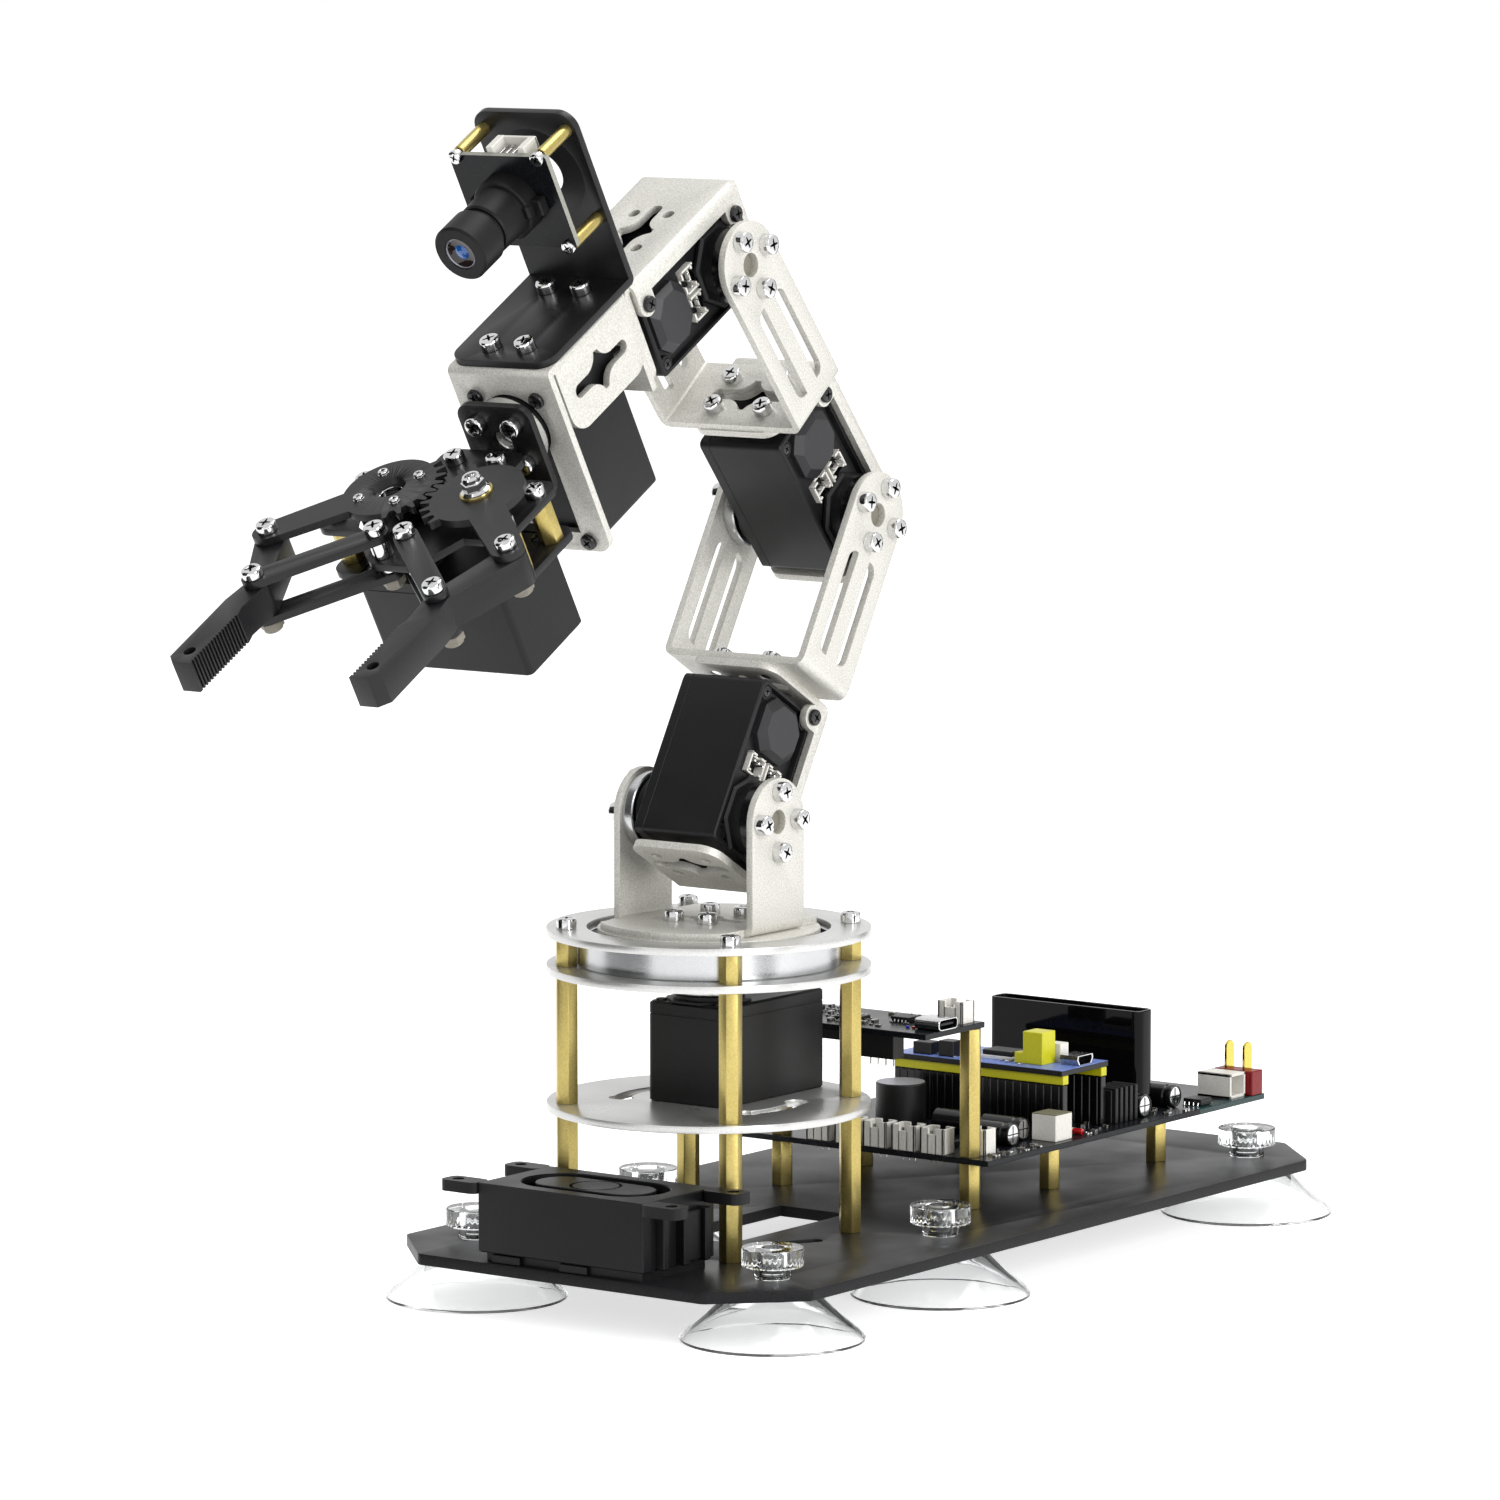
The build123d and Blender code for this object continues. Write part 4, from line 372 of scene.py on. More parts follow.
def add_hex(bm, flats, low, high, place, index=0):
    """Hexagon bar or nut with chamfered corners."""
    corners = circle(flats / 2 / cos(pi / 6), 6)
    bevel = 0.28
    points = [(x, y, z) for x, y in corners for z in (low + bevel, high - bevel)]
    points += [(x * 0.92, y * 0.92, z) for x, y in corners for z in (low, high)]
    add_hull(bm, points, place, index)


def dress_screws(node, silver, black):
    """One piece of detailed screws for a node of plain ones."""
    bm = bmesh.new()
    for number, (place, radius) in enumerate(screw_places(node)):
        small = radius < 2.5
        put(bm, black if small else silver, place @ turned(37 * number, "Z"), 2 if small else 0)
    stand_in(node, made(bm, node), ["zinc", "recess", "black_zinc", "recess"])


# Servos: x to the far end of the case, z out of the shaft, millimetres. HALF_H is half the case's height,
# FLOOR the sunk face under its rim, and CASE its plan.
HALF_H = 13.4
FLOOR = -11.9
CASE = (-10.6, 35.4, -12.4, 12.4)
CASE_SCREWS = ((32.6, -9.7), (32.6, 9.7), (-7.9, 9.7), (-7.9, -9.7))


def case_outline(inset, corner=1.6):
    """Plan of the servo's case, drawn in by a width."""
    return rounded(CASE[0] + inset, CASE[1] - inset, CASE[2] + inset, CASE[3] - inset, corner)


def add_cable_socket(bm, place, middle):
    """Open white socket with three pins."""
    back, front, foot, top = 16.4, 10.7, -10.4, -13.3
    for x, y, length, width, high in (
        (back - 0.3, -2.3, 0.6, 2.4, top),
        (back - 0.3, 2.3, 0.6, 2.4, top),
        (back - 0.3, 0.0, 0.6, 6.4, top + 1.3),
        (13.6, -3.2, 5.7, 0.6, top),
        (13.6, 3.2, 5.7, 0.6, top),
        (front + 0.9, -2.6, 0.6, 1.4, top),
        (front + 0.9, 2.6, 0.6, 1.4, top),
        (front + 0.9, 0.0, 0.6, 6.4, top + 1.6),
    ):
        add_brick(bm, (x, middle + y, (foot + high) / 2), (length, width, foot - high), place, 0.08, 1)
    for step in (-2.0, 0.0, 2.0):
        add_brick(bm, (14.2, middle + step, -12.2), (0.64, 0.64, 3.4), place, 0.1, 2)


def servo_mesh(name, front, back, case_screw):
    """A bus servo with its rim, cap, cable sockets, bosses and case screws."""
    bm = bmesh.new()
    rings = []
    for inset, height in ((0.6, HALF_H), (0, 12.8), (0, 10.2), (0.12, 10.1), (0.12, 9.9), (0, 9.8), (0, -13.0),
                          (0.35, -HALF_H), (1.1, -HALF_H), (1.5, FLOOR)):
        rings.append(loop(bm, case_outline(inset), height, HERE))
    walls(bm, rings)
    bm.faces.new(rings[0])
    well = rounded(10.3, 16.7, -7.8, 7.8, 0.3, 1)
    mouth, bottom = loop(bm, well, FLOOR, HERE), loop(bm, well, -10.4, HERE)
    web(bm, [rings[-1], mouth])
    wall(bm, mouth, bottom)
    bm.faces.new(bottom)
    for middle in (-4.0, 4.0):
        add_cable_socket(bm, HERE, middle)
    # The cap below takes the sixth finish: the case's black ABS with its colour painted paler as a painted reflection.
    cap = []
    for cut, inset, height in ((3.5, 0, FLOOR), (3.5, 0, -HALF_H), (3.9, 1.5, -15.1)):
        for sx in (-1, 1):
            for sy in (-1, 1):
                x, y = 25.25 + sx * (7.75 - inset), sy * (8.4 - inset)
                cap += [(x - sx * cut, y, height), (x, y - sy * cut, height)]
    add_hull(bm, cap, HERE, 5)
    for x, y in CASE_SCREWS:
        add_lathe(bm, [(2.3, FLOOR), (2.3, -13.0), (2.0, -13.2), (1.7, -13.2), (1.5, -12.3), (0, -12.3)],
                  spot(HERE, x, y), 24)
        if (x, y) != CASE_SCREWS[-1]:
            put(bm, case_screw, spot(HERE, x, y, -12.5, turned(180, "X") @ turned(x + y, "Z")), 3)
    for x, y in CASE_SCREWS:
        put(bm, case_screw, spot(HERE, x, y, HALF_H - 0.35, turned(x * y, "Z")), 3)
    for sign, boss in ((1, front), (-1, back)):
        if boss:
            face = sign * HALF_H
            low = FLOOR if sign < 0 else HALF_H - 0.1
            step = face + sign * 0.7
            add_prism(bm, circle(11.6, 8, start=0.5), min(low, step), max(low, step), HERE, 0.7)
            tip = face + sign * boss
            end = tip + sign * 1.7
            add_lathe(bm, [(9.5, face), (9.5, tip - sign * 0.3), (9.2, tip), (0, tip)], HERE, 64)
            add_lathe(bm, [(2.7, tip - sign), (2.7, tip + sign * 1.4), (2.3, end), (0, end)], HERE, 32, 2)
    return made(bm, name)


SERVO_FINISHES = ["servo_plastic", "white_nylon", "zinc", "black_zinc", "recess", "servo_cap_painted_sheen"]


def axes(place, origin, first, second, third):
    """A frame inside another one, from its origin in millimetres and its three axes."""
    inner = Matrix((first, second, third)).transposed().to_4x4()
    return place @ Matrix.Translation(Vector(origin) * MM) @ inner


ROLL = axes(HAND, (63.6, 1.0, 0), (0, -1, 0), (0, 0, -1), (1, 0, 0))
GRIP_SERVO = axes(HAND, (115.9, -26.8, 14), (0, 0, -1), (-1, 0, 0), (0, 1, 0))
BASE_SERVO = axes(BASE, (0, 0, 66), (0, 1, 0), (-1, 0, 0), (0, 0, 1))


# Finishes
# Size of the dull and bright patches that handling and moulding leave, in millimetres.
PATCH = 18.0


def linear(code):
    """An sRGB hex colour as linear RGBA."""
    values = [int(code[place:place + 2], 16) / 255 for place in (1, 3, 5)]
    return tuple(v / 12.92 if v <= 0.04045 else ((v + 0.055) / 1.055) ** 2.4 for v in values) + (1.0,)


def shade(colour):
    """Linear RGBA of an sRGB hex colour, or of a colour that is set in the panel."""
    return linear(colour) if colour.startswith("#") else tuple(getattr(bpy.context.scene.arm_looks, colour))


def add(tree, kind, feeds=(), **settings):
    """One shader node with its settings, and values or sockets for its inputs."""
    new = tree.nodes.new(kind)
    for key, value in settings.items():
        setattr(new, key, value)
    for socket, source in dict(feeds).items():
        if isinstance(source, bpy.types.NodeSocket):
            tree.links.new(source, new.inputs[socket])
        else:
            new.inputs[socket].default_value = source
    return new


def blank(name):
    """A new material, its tree, and a shader wired to the output."""
    material = bpy.data.materials.new(name)
    material.use_nodes = True
    tree = material.node_tree
    tree.nodes.clear()
    shader = add(tree, "ShaderNodeBsdfPrincipled")
    add(tree, "ShaderNodeOutputMaterial", {"Surface": shader.outputs[0]})
    return material, tree, shader


def grained(name, dark, light, grain, relief, rough, metallic=0.0, specular=0.5, coat=0.0, tint=(1, 1, 1, 1)):
    """Material whose colour, gloss and height vary in grains of a real size in millimetres."""
    material, tree, shader = blank(name)
    where = add(tree, "ShaderNodeTexCoord").outputs["Object"]
    speck = add(tree, "ShaderNodeTexNoise", {"Vector": where, "Scale": 1 / (grain * MM), "Detail": 2.0})
    patch = add(tree, "ShaderNodeTexNoise", {"Vector": where, "Scale": 1 / (PATCH * MM), "Detail": 3.0})
    mixed = {"Fac": speck.outputs["Fac"], "Color1": linear(dark), "Color2": shade(light)}
    worn = {"Value": patch.outputs["Fac"], "From Min": 0.3, "From Max": 0.7, "To Min": rough * 0.88,
            "To Max": rough * 1.12}
    raised = {"Height": speck.outputs["Fac"], "Strength": 1.0, "Distance": relief * MM}
    for kind, feeds, socket in (("ShaderNodeMixRGB", mixed, "Base Color"), ("ShaderNodeMapRange", worn, "Roughness"),
                                ("ShaderNodeBump", raised, "Normal")):
        tree.links.new(add(tree, kind, feeds).outputs[0], shader.inputs[socket])
    for socket, value in (("Metallic", metallic), ("Specular IOR Level", specular), ("Coat Weight", coat),
                          ("Specular Tint", tint)):
        shader.inputs[socket].default_value = value
    return material


def clear(name, tint, rough, ior):
    """See-through moulded plastic, with faint waves where it cooled."""
    material, tree, shader = blank(name)
    where = add(tree, "ShaderNodeTexCoord").outputs["Object"]
    waves = add(tree, "ShaderNodeTexNoise", {"Vector": where, "Scale": 1 / (6 * MM), "Detail": 1.0})
    raised = {"Height": waves.outputs["Fac"], "Strength": 0.4, "Distance": 0.05 * MM}
    tree.links.new(add(tree, "ShaderNodeBump", raised).outputs[0], shader.inputs["Normal"])
    for socket, value in (("Base Color", linear(tint)), ("Roughness", rough), ("IOR", ior),
                          ("Transmission Weight", 1.0)):
        shader.inputs[socket].default_value = value
    return material


# Each row: maker, the real material or the painted light that it stands for, darkest and lightest grain, grain size
# and height in millimetres, roughness, then metallic, specular level, coat and tint where they aren't 0, 0.5, 0 and
# white. Grains under about 0.4 mm are too fine to show, and are drawn at 0.35 to 0.5 mm.
FINISHES = {
    # Warm pale metal that sparkles in fine specks.
    "blasted_aluminium": (grained, "blasted clear anodised aluminium", "#A19F98", "sheet", 0.42, 0.05, 0.48, 0.4),
    # The disc seen down a horn's bore: brown grey, hardly any shine.
    "dull_nickel": (grained, "dull nickel plate", "#6E6A60", "#8E897D", 0.5, 0.004, 0.5, 0.2),
    # A muted lid on the white button.
    "olive_cap": (grained, "olive grey moulded lid", "#63614A", "#7C7A62", 0.5, 0.004, 0.5),
    # Faint, blurred reflections under a sparkle.
    "black_plate": (grained, "etched black anodised plate", "#0C0C0D", "#2A2A2C", 0.4, 0.05, 0.34, 0.0, 0.1),
    # Smoother and greyer than the sheet.
    "turned_aluminium": (grained, "turned aluminium", "#BDBDBB", "#DCDCDA", 0.45, 0.012, 0.3, 0.75),
    # Near black with fine specks and a soft mirror at low angles.
    "black_anodised": (grained, "blasted black anodised aluminium", "#0D0D0E", "anodised", 0.35, 0.02, 0.36, 0.0, 0.3),
    # Clean, slightly blurred reflections.
    "polished_steel": (grained, "polished bearing steel", "#B4B5B7", "#C8C9CA", 0.4, 0.012, 0.24, 1.0),
    # Small bright mirrors.
    "zinc": (grained, "bright zinc plated steel", "#C4C4C5", "#DEDEDE", 0.8, 0.002, 0.12, 1.0),
    # A soft grey sheen.
    "grey_metal": (grained, "grey can lid", "#8E8E99", "#A3A3AC", 0.6, 0.004, 0.4, 0.6),
    # Painted shade for sunk parts, such as screw recesses and socket and slot floors, and for the dark screens: dark,
    # without shine.
    "recess": (grained, "pressed screw recess", "#0C0C0D", "#161617", 0.8, 0.003, 0.5, 0.0, 0.1),
    # Black with a tight highlight on each edge.
    "black_zinc": (grained, "black oxide steel", "#0D0D0F", "#19191B", 0.6, 0.004, 0.25),
    # Pale yellow metal.
    "brass": (grained, "drawn brass", "#A08E50", "brass", 0.5, 0.008, 0.3, 0.9),
    # Deeper yellow, mirror bright.
    "gold_plate": (grained, "gold plated contact", "#C9B04A", "#E2CC6A", 0.8, 0.002, 0.15, 1.0),
    # Black with the dull, even look of a fine spark texture.
    "servo_plastic": (grained, "moulded black ABS", "#0D0D0E", "#1A1A1C", 0.4, 0.014, 0.42, 0.0, 0.24),
    # Same black ABS as the case round it, but smoother, and with its colour painted paler as a painted reflection:
    # charcoal.
    "servo_cap_painted_sheen": (grained, "satin black ABS cap", "#262628", "#303032", 0.6, 0.004, 0.34, 0.0, 0.3),
    # Coarser texture than the servos: dark and quiet, with a soft light along the top.
    "speaker_plastic": (grained, "spark-textured black ABS", "#08080A", "#161618", 0.35, 0.02, 0.4, 0.0, 0.2),
    # Deep black with clear highlights.
    "black_gloss": (grained, "glossy black nylon", "#08080A", "#0F0F11", 1.5, 0.002, 0.2, 0.0, 0.35),
    # Almost a black mirror.
    "module_gloss": (grained, "polished black polycarbonate", "#060607", "#0A0A0B", 2.5, 0.001, 0.05, 0.0, 0.12),
    # Tight black film with a streak of light along the can.
    "can_sleeve": (grained, "shrunk black sleeve", "#0A0A0B", "#131314", 1.0, 0.002, 0.2, 0.0, 0.4),
    # Flat grey black.
    "chip_black": (grained, "black epoxy mould", "#0E0E0F", "#171718", 0.4, 0.004, 0.4, 0.0, 0.3),
    # Mottled brown, as chip resistors and capacitors are.
    "ceramic": (grained, "fired chip ceramic", "#3A352E", "#7A7266", 0.9, 0.003, 0.4),
    # Warm white with a soft shine.
    "white_nylon": (grained, "moulded white nylon", "#DAD7CF", "#EFEDE7", 0.8, 0.005, 0.42),
    # Smooth lacquer over copper, seen as darker and lighter traces.
    "board_black": (grained, "black solder mask", "#0B0C0E", "#191B1F", 1.1, 0.004, 0.26, 0.0, 0.18),
    # A hint of green along one edge.
    "board_green": (grained, "green solder mask edge", "#0C2A2A", "#15383A", 1.1, 0.004, 0.26, 0.0, 0.35),
    # Blue lacquer, broken up by pale traces and pads.
    "board_blue": (grained, "blue solder mask", "#1C3F9C", "core_board", 0.9, 0.004, 0.3),
    # Deep red with a soft shine.
    "red_nylon": (grained, "moulded red nylon", "#6E0A10", "#8C1016", 0.8, 0.004, 0.34, 0.0, 0.3),
    # Bright red bead.
    "red_glass": (grained, "red glass", "#A30F14", "#C4161C", 0.8, 0.002, 0.12),
    # Bright blue bead.
    "blue_part": (grained, "blue light", "#1426C8", "#2238E0", 0.8, 0.002, 0.2),
    # Sharp yellow with a soft shine.
    "yellow_nylon": (grained, "moulded yellow nylon", "#C2BE10", "yellow", 0.8, 0.004, 0.4),
    # Matt black, paler where it faces the light.
    "rubber": (grained, "moulded black rubber", "#0C0C0D", "#171717", 0.4, 0.008, 0.5, 0.0, 0.2),
    # Sawn edge of a board, paler than its lacquer.
    "board_edge": (grained, "sawn glass fibre edge", "#77776F", "#A9A9A0", 0.4, 0.004, 0.5),
    # The dark ring behind the front glass.
    "dark_glass": (grained, "stopped-down glass", "#1A1210", "#2A2020", 2.0, 0.0, 0.08),
    # Deep blue reflections over black.
    "lens_glass": (grained, "coated lens glass", "#0A2A70", "#2C7CD0", 3.0, 0.0, 0.03, 0.0, 0.5, 1.0,
                   (0.45, 0.6, 1.0, 1.0)),
    # Hardly there: a bright rim, and bent lines where the wall turns.
    "cup_plastic": (clear, "clear soft vinyl", "#FDFEFE", 0.03, 1.42),
    # Like cut glass.
    "nut_plastic": (clear, "clear cast acrylic", "#FBFDFD", 0.02, 1.47),
}


def finished(key):
    """The material of a finish, made when it is first asked for."""
    make, name, *values = FINISHES[key]
    return bpy.data.materials.get(name) or make(name, *values)


NODE_FINISH = {
    "clear_cup": "cup_plastic", "clear_nut": "nut_plastic", "silver_sheet": "blasted_aluminium", "brass": "brass",
    "black_anodised": "black_anodised", "bearing_steel": "polished_steel", "screw_steel": "zinc",
    "servo_black": "servo_plastic", "board_black": "board_black", "board_blue": "board_blue", "rubber": "rubber",
    "white_plastic": "white_nylon", "black_plastic": "black_gloss", "red_plastic": "red_nylon",
}

COLOUR = {"subtype": "COLOR", "size": 4, "min": 0.0, "max": 1.0}


class LooksSettings(bpy.types.PropertyGroup):
    """Edges and main colours of the arm."""

    edge_width: FloatProperty(name="Edge width", description="Width of the rounded edges of plates and bars",
                              default=0.22 * MM, min=0.0, precision=5, unit="LENGTH")
    sheet: FloatVectorProperty(name="Sheet", description="Lightest grain of the silver sheet",
                               default=linear("#F8F6EF"), **COLOUR)
    anodised: FloatVectorProperty(name="Black bars", description="Lightest grain of the black anodised bars",
                                  default=linear("#212123"), **COLOUR)
    brass: FloatVectorProperty(name="Brass", description="Lightest grain of the standoffs",
                               default=linear("#C9B874"), **COLOUR)
    core_board: FloatVectorProperty(name="Core board", description="Traces and pads of the core board",
                                    default=linear("#93ABEA"), **COLOUR)
    yellow: FloatVectorProperty(name="Yellow nylon", description="Lightest grain of the yellow strips",
                                default=linear("#D6D11C"), **COLOUR)


class StageSettings(bpy.types.PropertyGroup):
    """Floor and light."""

    floor_colour: FloatVectorProperty(name="Floor", description="Colour of the floor",
                                      default=(0.92, 0.92, 0.92, 1.0), **COLOUR)
    key_power: FloatProperty(name="Key light", description="Power of the lamp at the side", default=20.0, unit="POWER")
    fill_power: FloatProperty(name="Fill light", description="Power of the lamp in front", default=5.0, unit="POWER")
    top_power: FloatProperty(name="Top light", description="Power of the lamp above", default=10.0, unit="POWER")
    sky: FloatProperty(name="Sky", description="Strength of the even light from all round", default=0.4)


# The view that the camera was solved for: its bearing and drop in degrees, its place from the base in
# millimetres, and its focal length in the picture's points.
CAMERA_AZIMUTH = 36.178
CAMERA_DROP = 6.848
CAMERA_AT = (1177.45, -1591.68, 383.51)
CAMERA_FOCAL_PX = 7574.17
PICTURE_PX = 1500
SENSOR = 36.0
# Dark screens for reflections: bearing from the view and half their spread, in degrees; radius and height.
SCREENS = ((-74, 24), (47, 10), (137, 9))
SCREEN_RADIUS = 0.6
SCREEN_HEIGHT = 0.8
# Lamps: name, place, side and the setting that holds the power.
LAMPS = (
    ("key", (1.5, -0.3, 0.6), 1.0, "key_power"),
    ("fill", (-0.6, -1.4, 0.9), 1.0, "fill_power"),
    ("top", (0.2, 0.4, 1.5), 0.9, "top_power"),
)
LAMP_AIM = (0, 0, 0.15)
FLOOR_REACH = 6.0


def seen_white(tree):
    """1 for the rays that meet a white background: from the camera, off mirrors and through glass."""
    ray = add(tree, "ShaderNodeLightPath")
    seen = ray.outputs["Is Camera Ray"]
    for kind in ("Is Glossy Ray", "Is Transmission Ray"):
        seen = add(tree, "ShaderNodeMath", {0: seen, 1: ray.outputs[kind]}, operation="MAXIMUM").outputs[0]
    return seen


class ARM_OT_stage(bpy.types.Operator):
    """Makes the camera, the floor and the light"""

    bl_idname = "robot_arm.stage"
    bl_label = "Stage"

    def execute(self, context):
        scene, settings = context.scene, context.scene.arm_stage
        scene.view_settings.view_transform = "Standard"
        self.add_camera(scene)
        self.add_sky(scene, settings)
        self.add_floor(settings)
        self.add_screens()
        self.add_lamps(settings)
        return {"FINISHED"}

    def add_camera(self, scene):
        """The camera at the solved view."""
        lens = bpy.data.cameras.new("view")
        lens.sensor_width = SENSOR
        lens.lens = CAMERA_FOCAL_PX / PICTURE_PX * SENSOR
        lens.clip_end = 20
        camera = placed("view", lens)
        bearing, drop = radians(CAMERA_AZIMUTH), radians(CAMERA_DROP)
        ahead = Vector((-sin(bearing) * cos(drop), cos(bearing) * cos(drop), -sin(drop)))
        right = Vector((cos(bearing), sin(bearing), 0))
        turn = Matrix((right, right.cross(ahead), -ahead)).transposed().to_4x4()
        camera.matrix_world = Matrix.Translation(BASE @ (Vector(CAMERA_AT) * MM)) @ turn
        scene.camera = camera

    def add_sky(self, scene, settings):
        """Even light from all round, and white where the background is seen."""
        scene.world = bpy.data.worlds.new("studio")
        scene.world.use_nodes = True
        tree = scene.world.node_tree
        tree.nodes.clear()
        reach = {"Value": seen_white(tree), "To Min": settings.sky, "To Max": 1.0}
        strength = add(tree, "ShaderNodeMapRange", reach).outputs[0]
        sky = add(tree, "ShaderNodeBackground", {"Color": (1, 1, 1, 1), "Strength": strength})
        add(tree, "ShaderNodeOutputWorld", {"Surface": sky.outputs[0]})

    def add_floor(self, settings):
        """Matt white paint: a pale, even ground that keeps the soft shadow."""
        bm = bmesh.new()
        corners = ((-1, -1), (1, -1), (1, 1), (-1, 1))
        bm.faces.new([bm.verts.new((x * FLOOR_REACH, y * FLOOR_REACH, 0)) for x, y in corners])
        floor = placed("floor", made(bm, "floor"))
        material = bpy.data.materials.new("painted studio floor")
        material.use_nodes = True
        tree = material.node_tree
        tree.nodes.clear()
        seen = seen_white(tree)
        where = add(tree, "ShaderNodeTexCoord").outputs["Object"]
        away = add(tree, "ShaderNodeVectorMath", {0: where}, operation="LENGTH").outputs["Value"]
        fade = {"Value": away, "From Min": 0.3, "From Max": 1.0, "To Min": 0.68, "To Max": 0.8}
        even = add(tree, "ShaderNodeMapRange", fade).outputs[0]
        glow = add(tree, "ShaderNodeMath", {0: seen, 1: even}, operation="MULTIPLY").outputs[0]
        shine = add(tree, "ShaderNodeEmission", {"Strength": glow}).outputs[0]
        matt = add(tree, "ShaderNodeBsdfDiffuse", {"Color": tuple(settings.floor_colour)}).outputs[0]
        both = add(tree, "ShaderNodeAddShader", {0: matt, 1: shine}).outputs[0]
        add(tree, "ShaderNodeOutputMaterial", {"Surface": both})
        floor.data.materials.append(material)

    def add_screens(self):
        """Dark screens that only reflections see, so that metal shows dark beside light."""
        bm = bmesh.new()
        for degrees, half in SCREENS:
            ends = []
            for side in (-half, half):
                bearing = radians(CAMERA_AZIMUTH - 90 + degrees + side)
                ends.append((SCREEN_RADIUS * cos(bearing), SCREEN_RADIUS * sin(bearing)))
            low = [bm.verts.new((x, y, 0)) for x, y in ends]
            high = [bm.verts.new((x, y, SCREEN_HEIGHT)) for x, y in reversed(ends)]
            bm.faces.new(low + high)
        screens = placed("screens", made(bm, "screens"))
        for kind in ("camera", "diffuse", "shadow", "transmission"):
            setattr(screens, "visible_" + kind, False)
        screens.data.materials.append(finished("recess"))

    def add_lamps(self, settings):
        """Three soft lamps that face the arm's lower part."""
        target = BASE @ Vector(LAMP_AIM)
        for name, place, size, power in LAMPS:
            lamp = bpy.data.lights.new(name, "AREA")
            lamp.size = size
            lamp.energy = getattr(settings, power)
            holder = placed(name, lamp)
            holder.location = Vector(place)
            holder.rotation_mode = "QUATERNION"
            holder.rotation_quaternion = (target - Vector(place)).to_track_quat("-Z", "Y")


OWN_FINISH = {
    "lower_disc": "turned_aluminium", "middle_disc": "turned_aluminium", "top_disc": "turned_aluminium",
    "base_plate": "black_plate",
}
OWN_PIECE = ("left_gear_crank", "left_finger", "right_finger", "camera_posts", "camera_bracket")


class ARM_OT_sheet_metal(bpy.types.Operator):
    """Rounds the edges of the plates, brackets and bars and gives them their finishes"""

    bl_idname = "robot_arm.sheet_metal"
    bl_label = "Plates, brackets and bars"

    def execute(self, context):
        for node, slot in SLOT_OF.items():
            if slot in ("silver_sheet", "black_anodised", "brass") and node not in OWN_PIECE:
                finish = OWN_FINISH.get(node, NODE_FINISH[slot])
                stand_in(node, softened(node, crisp=node == "right_gear_crank"), [finish])
        return {"FINISHED"}


class ARM_OT_fasteners(bpy.types.Operator):
    """Cross-head screws in place of the plain ones"""

    bl_idname = "robot_arm.fasteners"
    bl_label = "Screws"

    def execute(self, context):
        silver = cross_head("cheese_head", 2.7, 2.9, 3.8)
        black = cross_head("small_head", 2.2, 1.3, 1.9)
        for node in ("disc_screws", "turntable_screws", "upper_arm_screws", "forearm_screws", "wrist_screws"):
            dress_screws(node, silver, black)
        return {"FINISHED"}


class ARM_OT_servos(bpy.types.Operator):
    """Bus servos with caps, cable sockets and case screws"""

    bl_idname = "robot_arm.servos"
    bl_label = "Servos"

    def execute(self, context):
        screw = cross_head("case_head", 1.55, 0.9, 1.0)
        both = servo_mesh("servo_both_bosses", 3.8, 3.8, screw)
        for node, place in (("shoulder_servo", UPPER_ARM), ("elbow_servo", FOREARM), ("wrist_servo", HAND),
                            ("roll_servo", ROLL)):
            self.show(node, both, place)
        self.show("gripper_servo", servo_mesh("servo_one_boss", 3.8, 0, screw), GRIP_SERVO)
        self.show("base_servo", servo_mesh("servo_low_boss", 2.0, 0, screw), BASE_SERVO)
        return {"FINISHED"}

    def show(self, node, mesh, place):
        """One servo in place of its node."""
        bm = bmesh.new()
        put(bm, mesh, place)
        stand_in(node, made(bm, node), SERVO_FINISHES)


def add_horn(bm, place, low, high, index):
    """Round disc with a bore and broken edges."""
    edge = 0.3 if high > low else -0.3
    profile = [(2.9, low), (10.2, low), (10.5, low + edge), (10.5, high - edge), (10.2, high), (3.2, high),
               (2.9, high - edge)]
    add_lathe(bm, profile, place, 72, index, closed=True)


class ARM_OT_horns(bpy.types.Operator):
    """Silver driven discs on the shafts and black idler discs behind them"""

    bl_idname = "robot_arm.horns"
    bl_label = "Horns"

    def execute(self, context):
        for node, place, distance in (("shoulder_horns", SHOULDER_FOOT, 0), ("elbow_horns", UPPER_ARM, LINK),
                                      ("wrist_horns", FOREARM, LINK)):
            bm = bmesh.new()
            shaft = spot(place, distance, 0)
            add_horn(bm, shaft, 17.5, 20.7, 0)
            add_horn(bm, shaft, -17.5, -20.7, 1)
            add_lathe(bm, [(0, -20.75), (3.3, -20.75), (3.3, -20.6)], shaft, 40, 2)
            stand_in(node, made(bm, node), ["polished_steel", "black_gloss", "dull_nickel"])
        bm = bmesh.new()
        add_horn(bm, axes(HAND, (81.1, 1.0, 0), (0, -1, 0), (0, 0, -1), (1, 0, 0)), 0, 3.2, 0)
        stand_in("roll_horn", made(bm, "roll_horn"), ["turned_aluminium"])
        bm = bmesh.new()
        add_horn(bm, BASE, 81.7, 84.9, 0)
        add_lathe(bm, [(2.9, 84.9), (11, 84.9), (11, 96.9), (2.9, 96.9)], BASE, 64, 0, closed=True)
        stand_in("turntable_hub", made(bm, "turntable_hub"), ["turned_aluminium"])
        return {"FINISHED"}


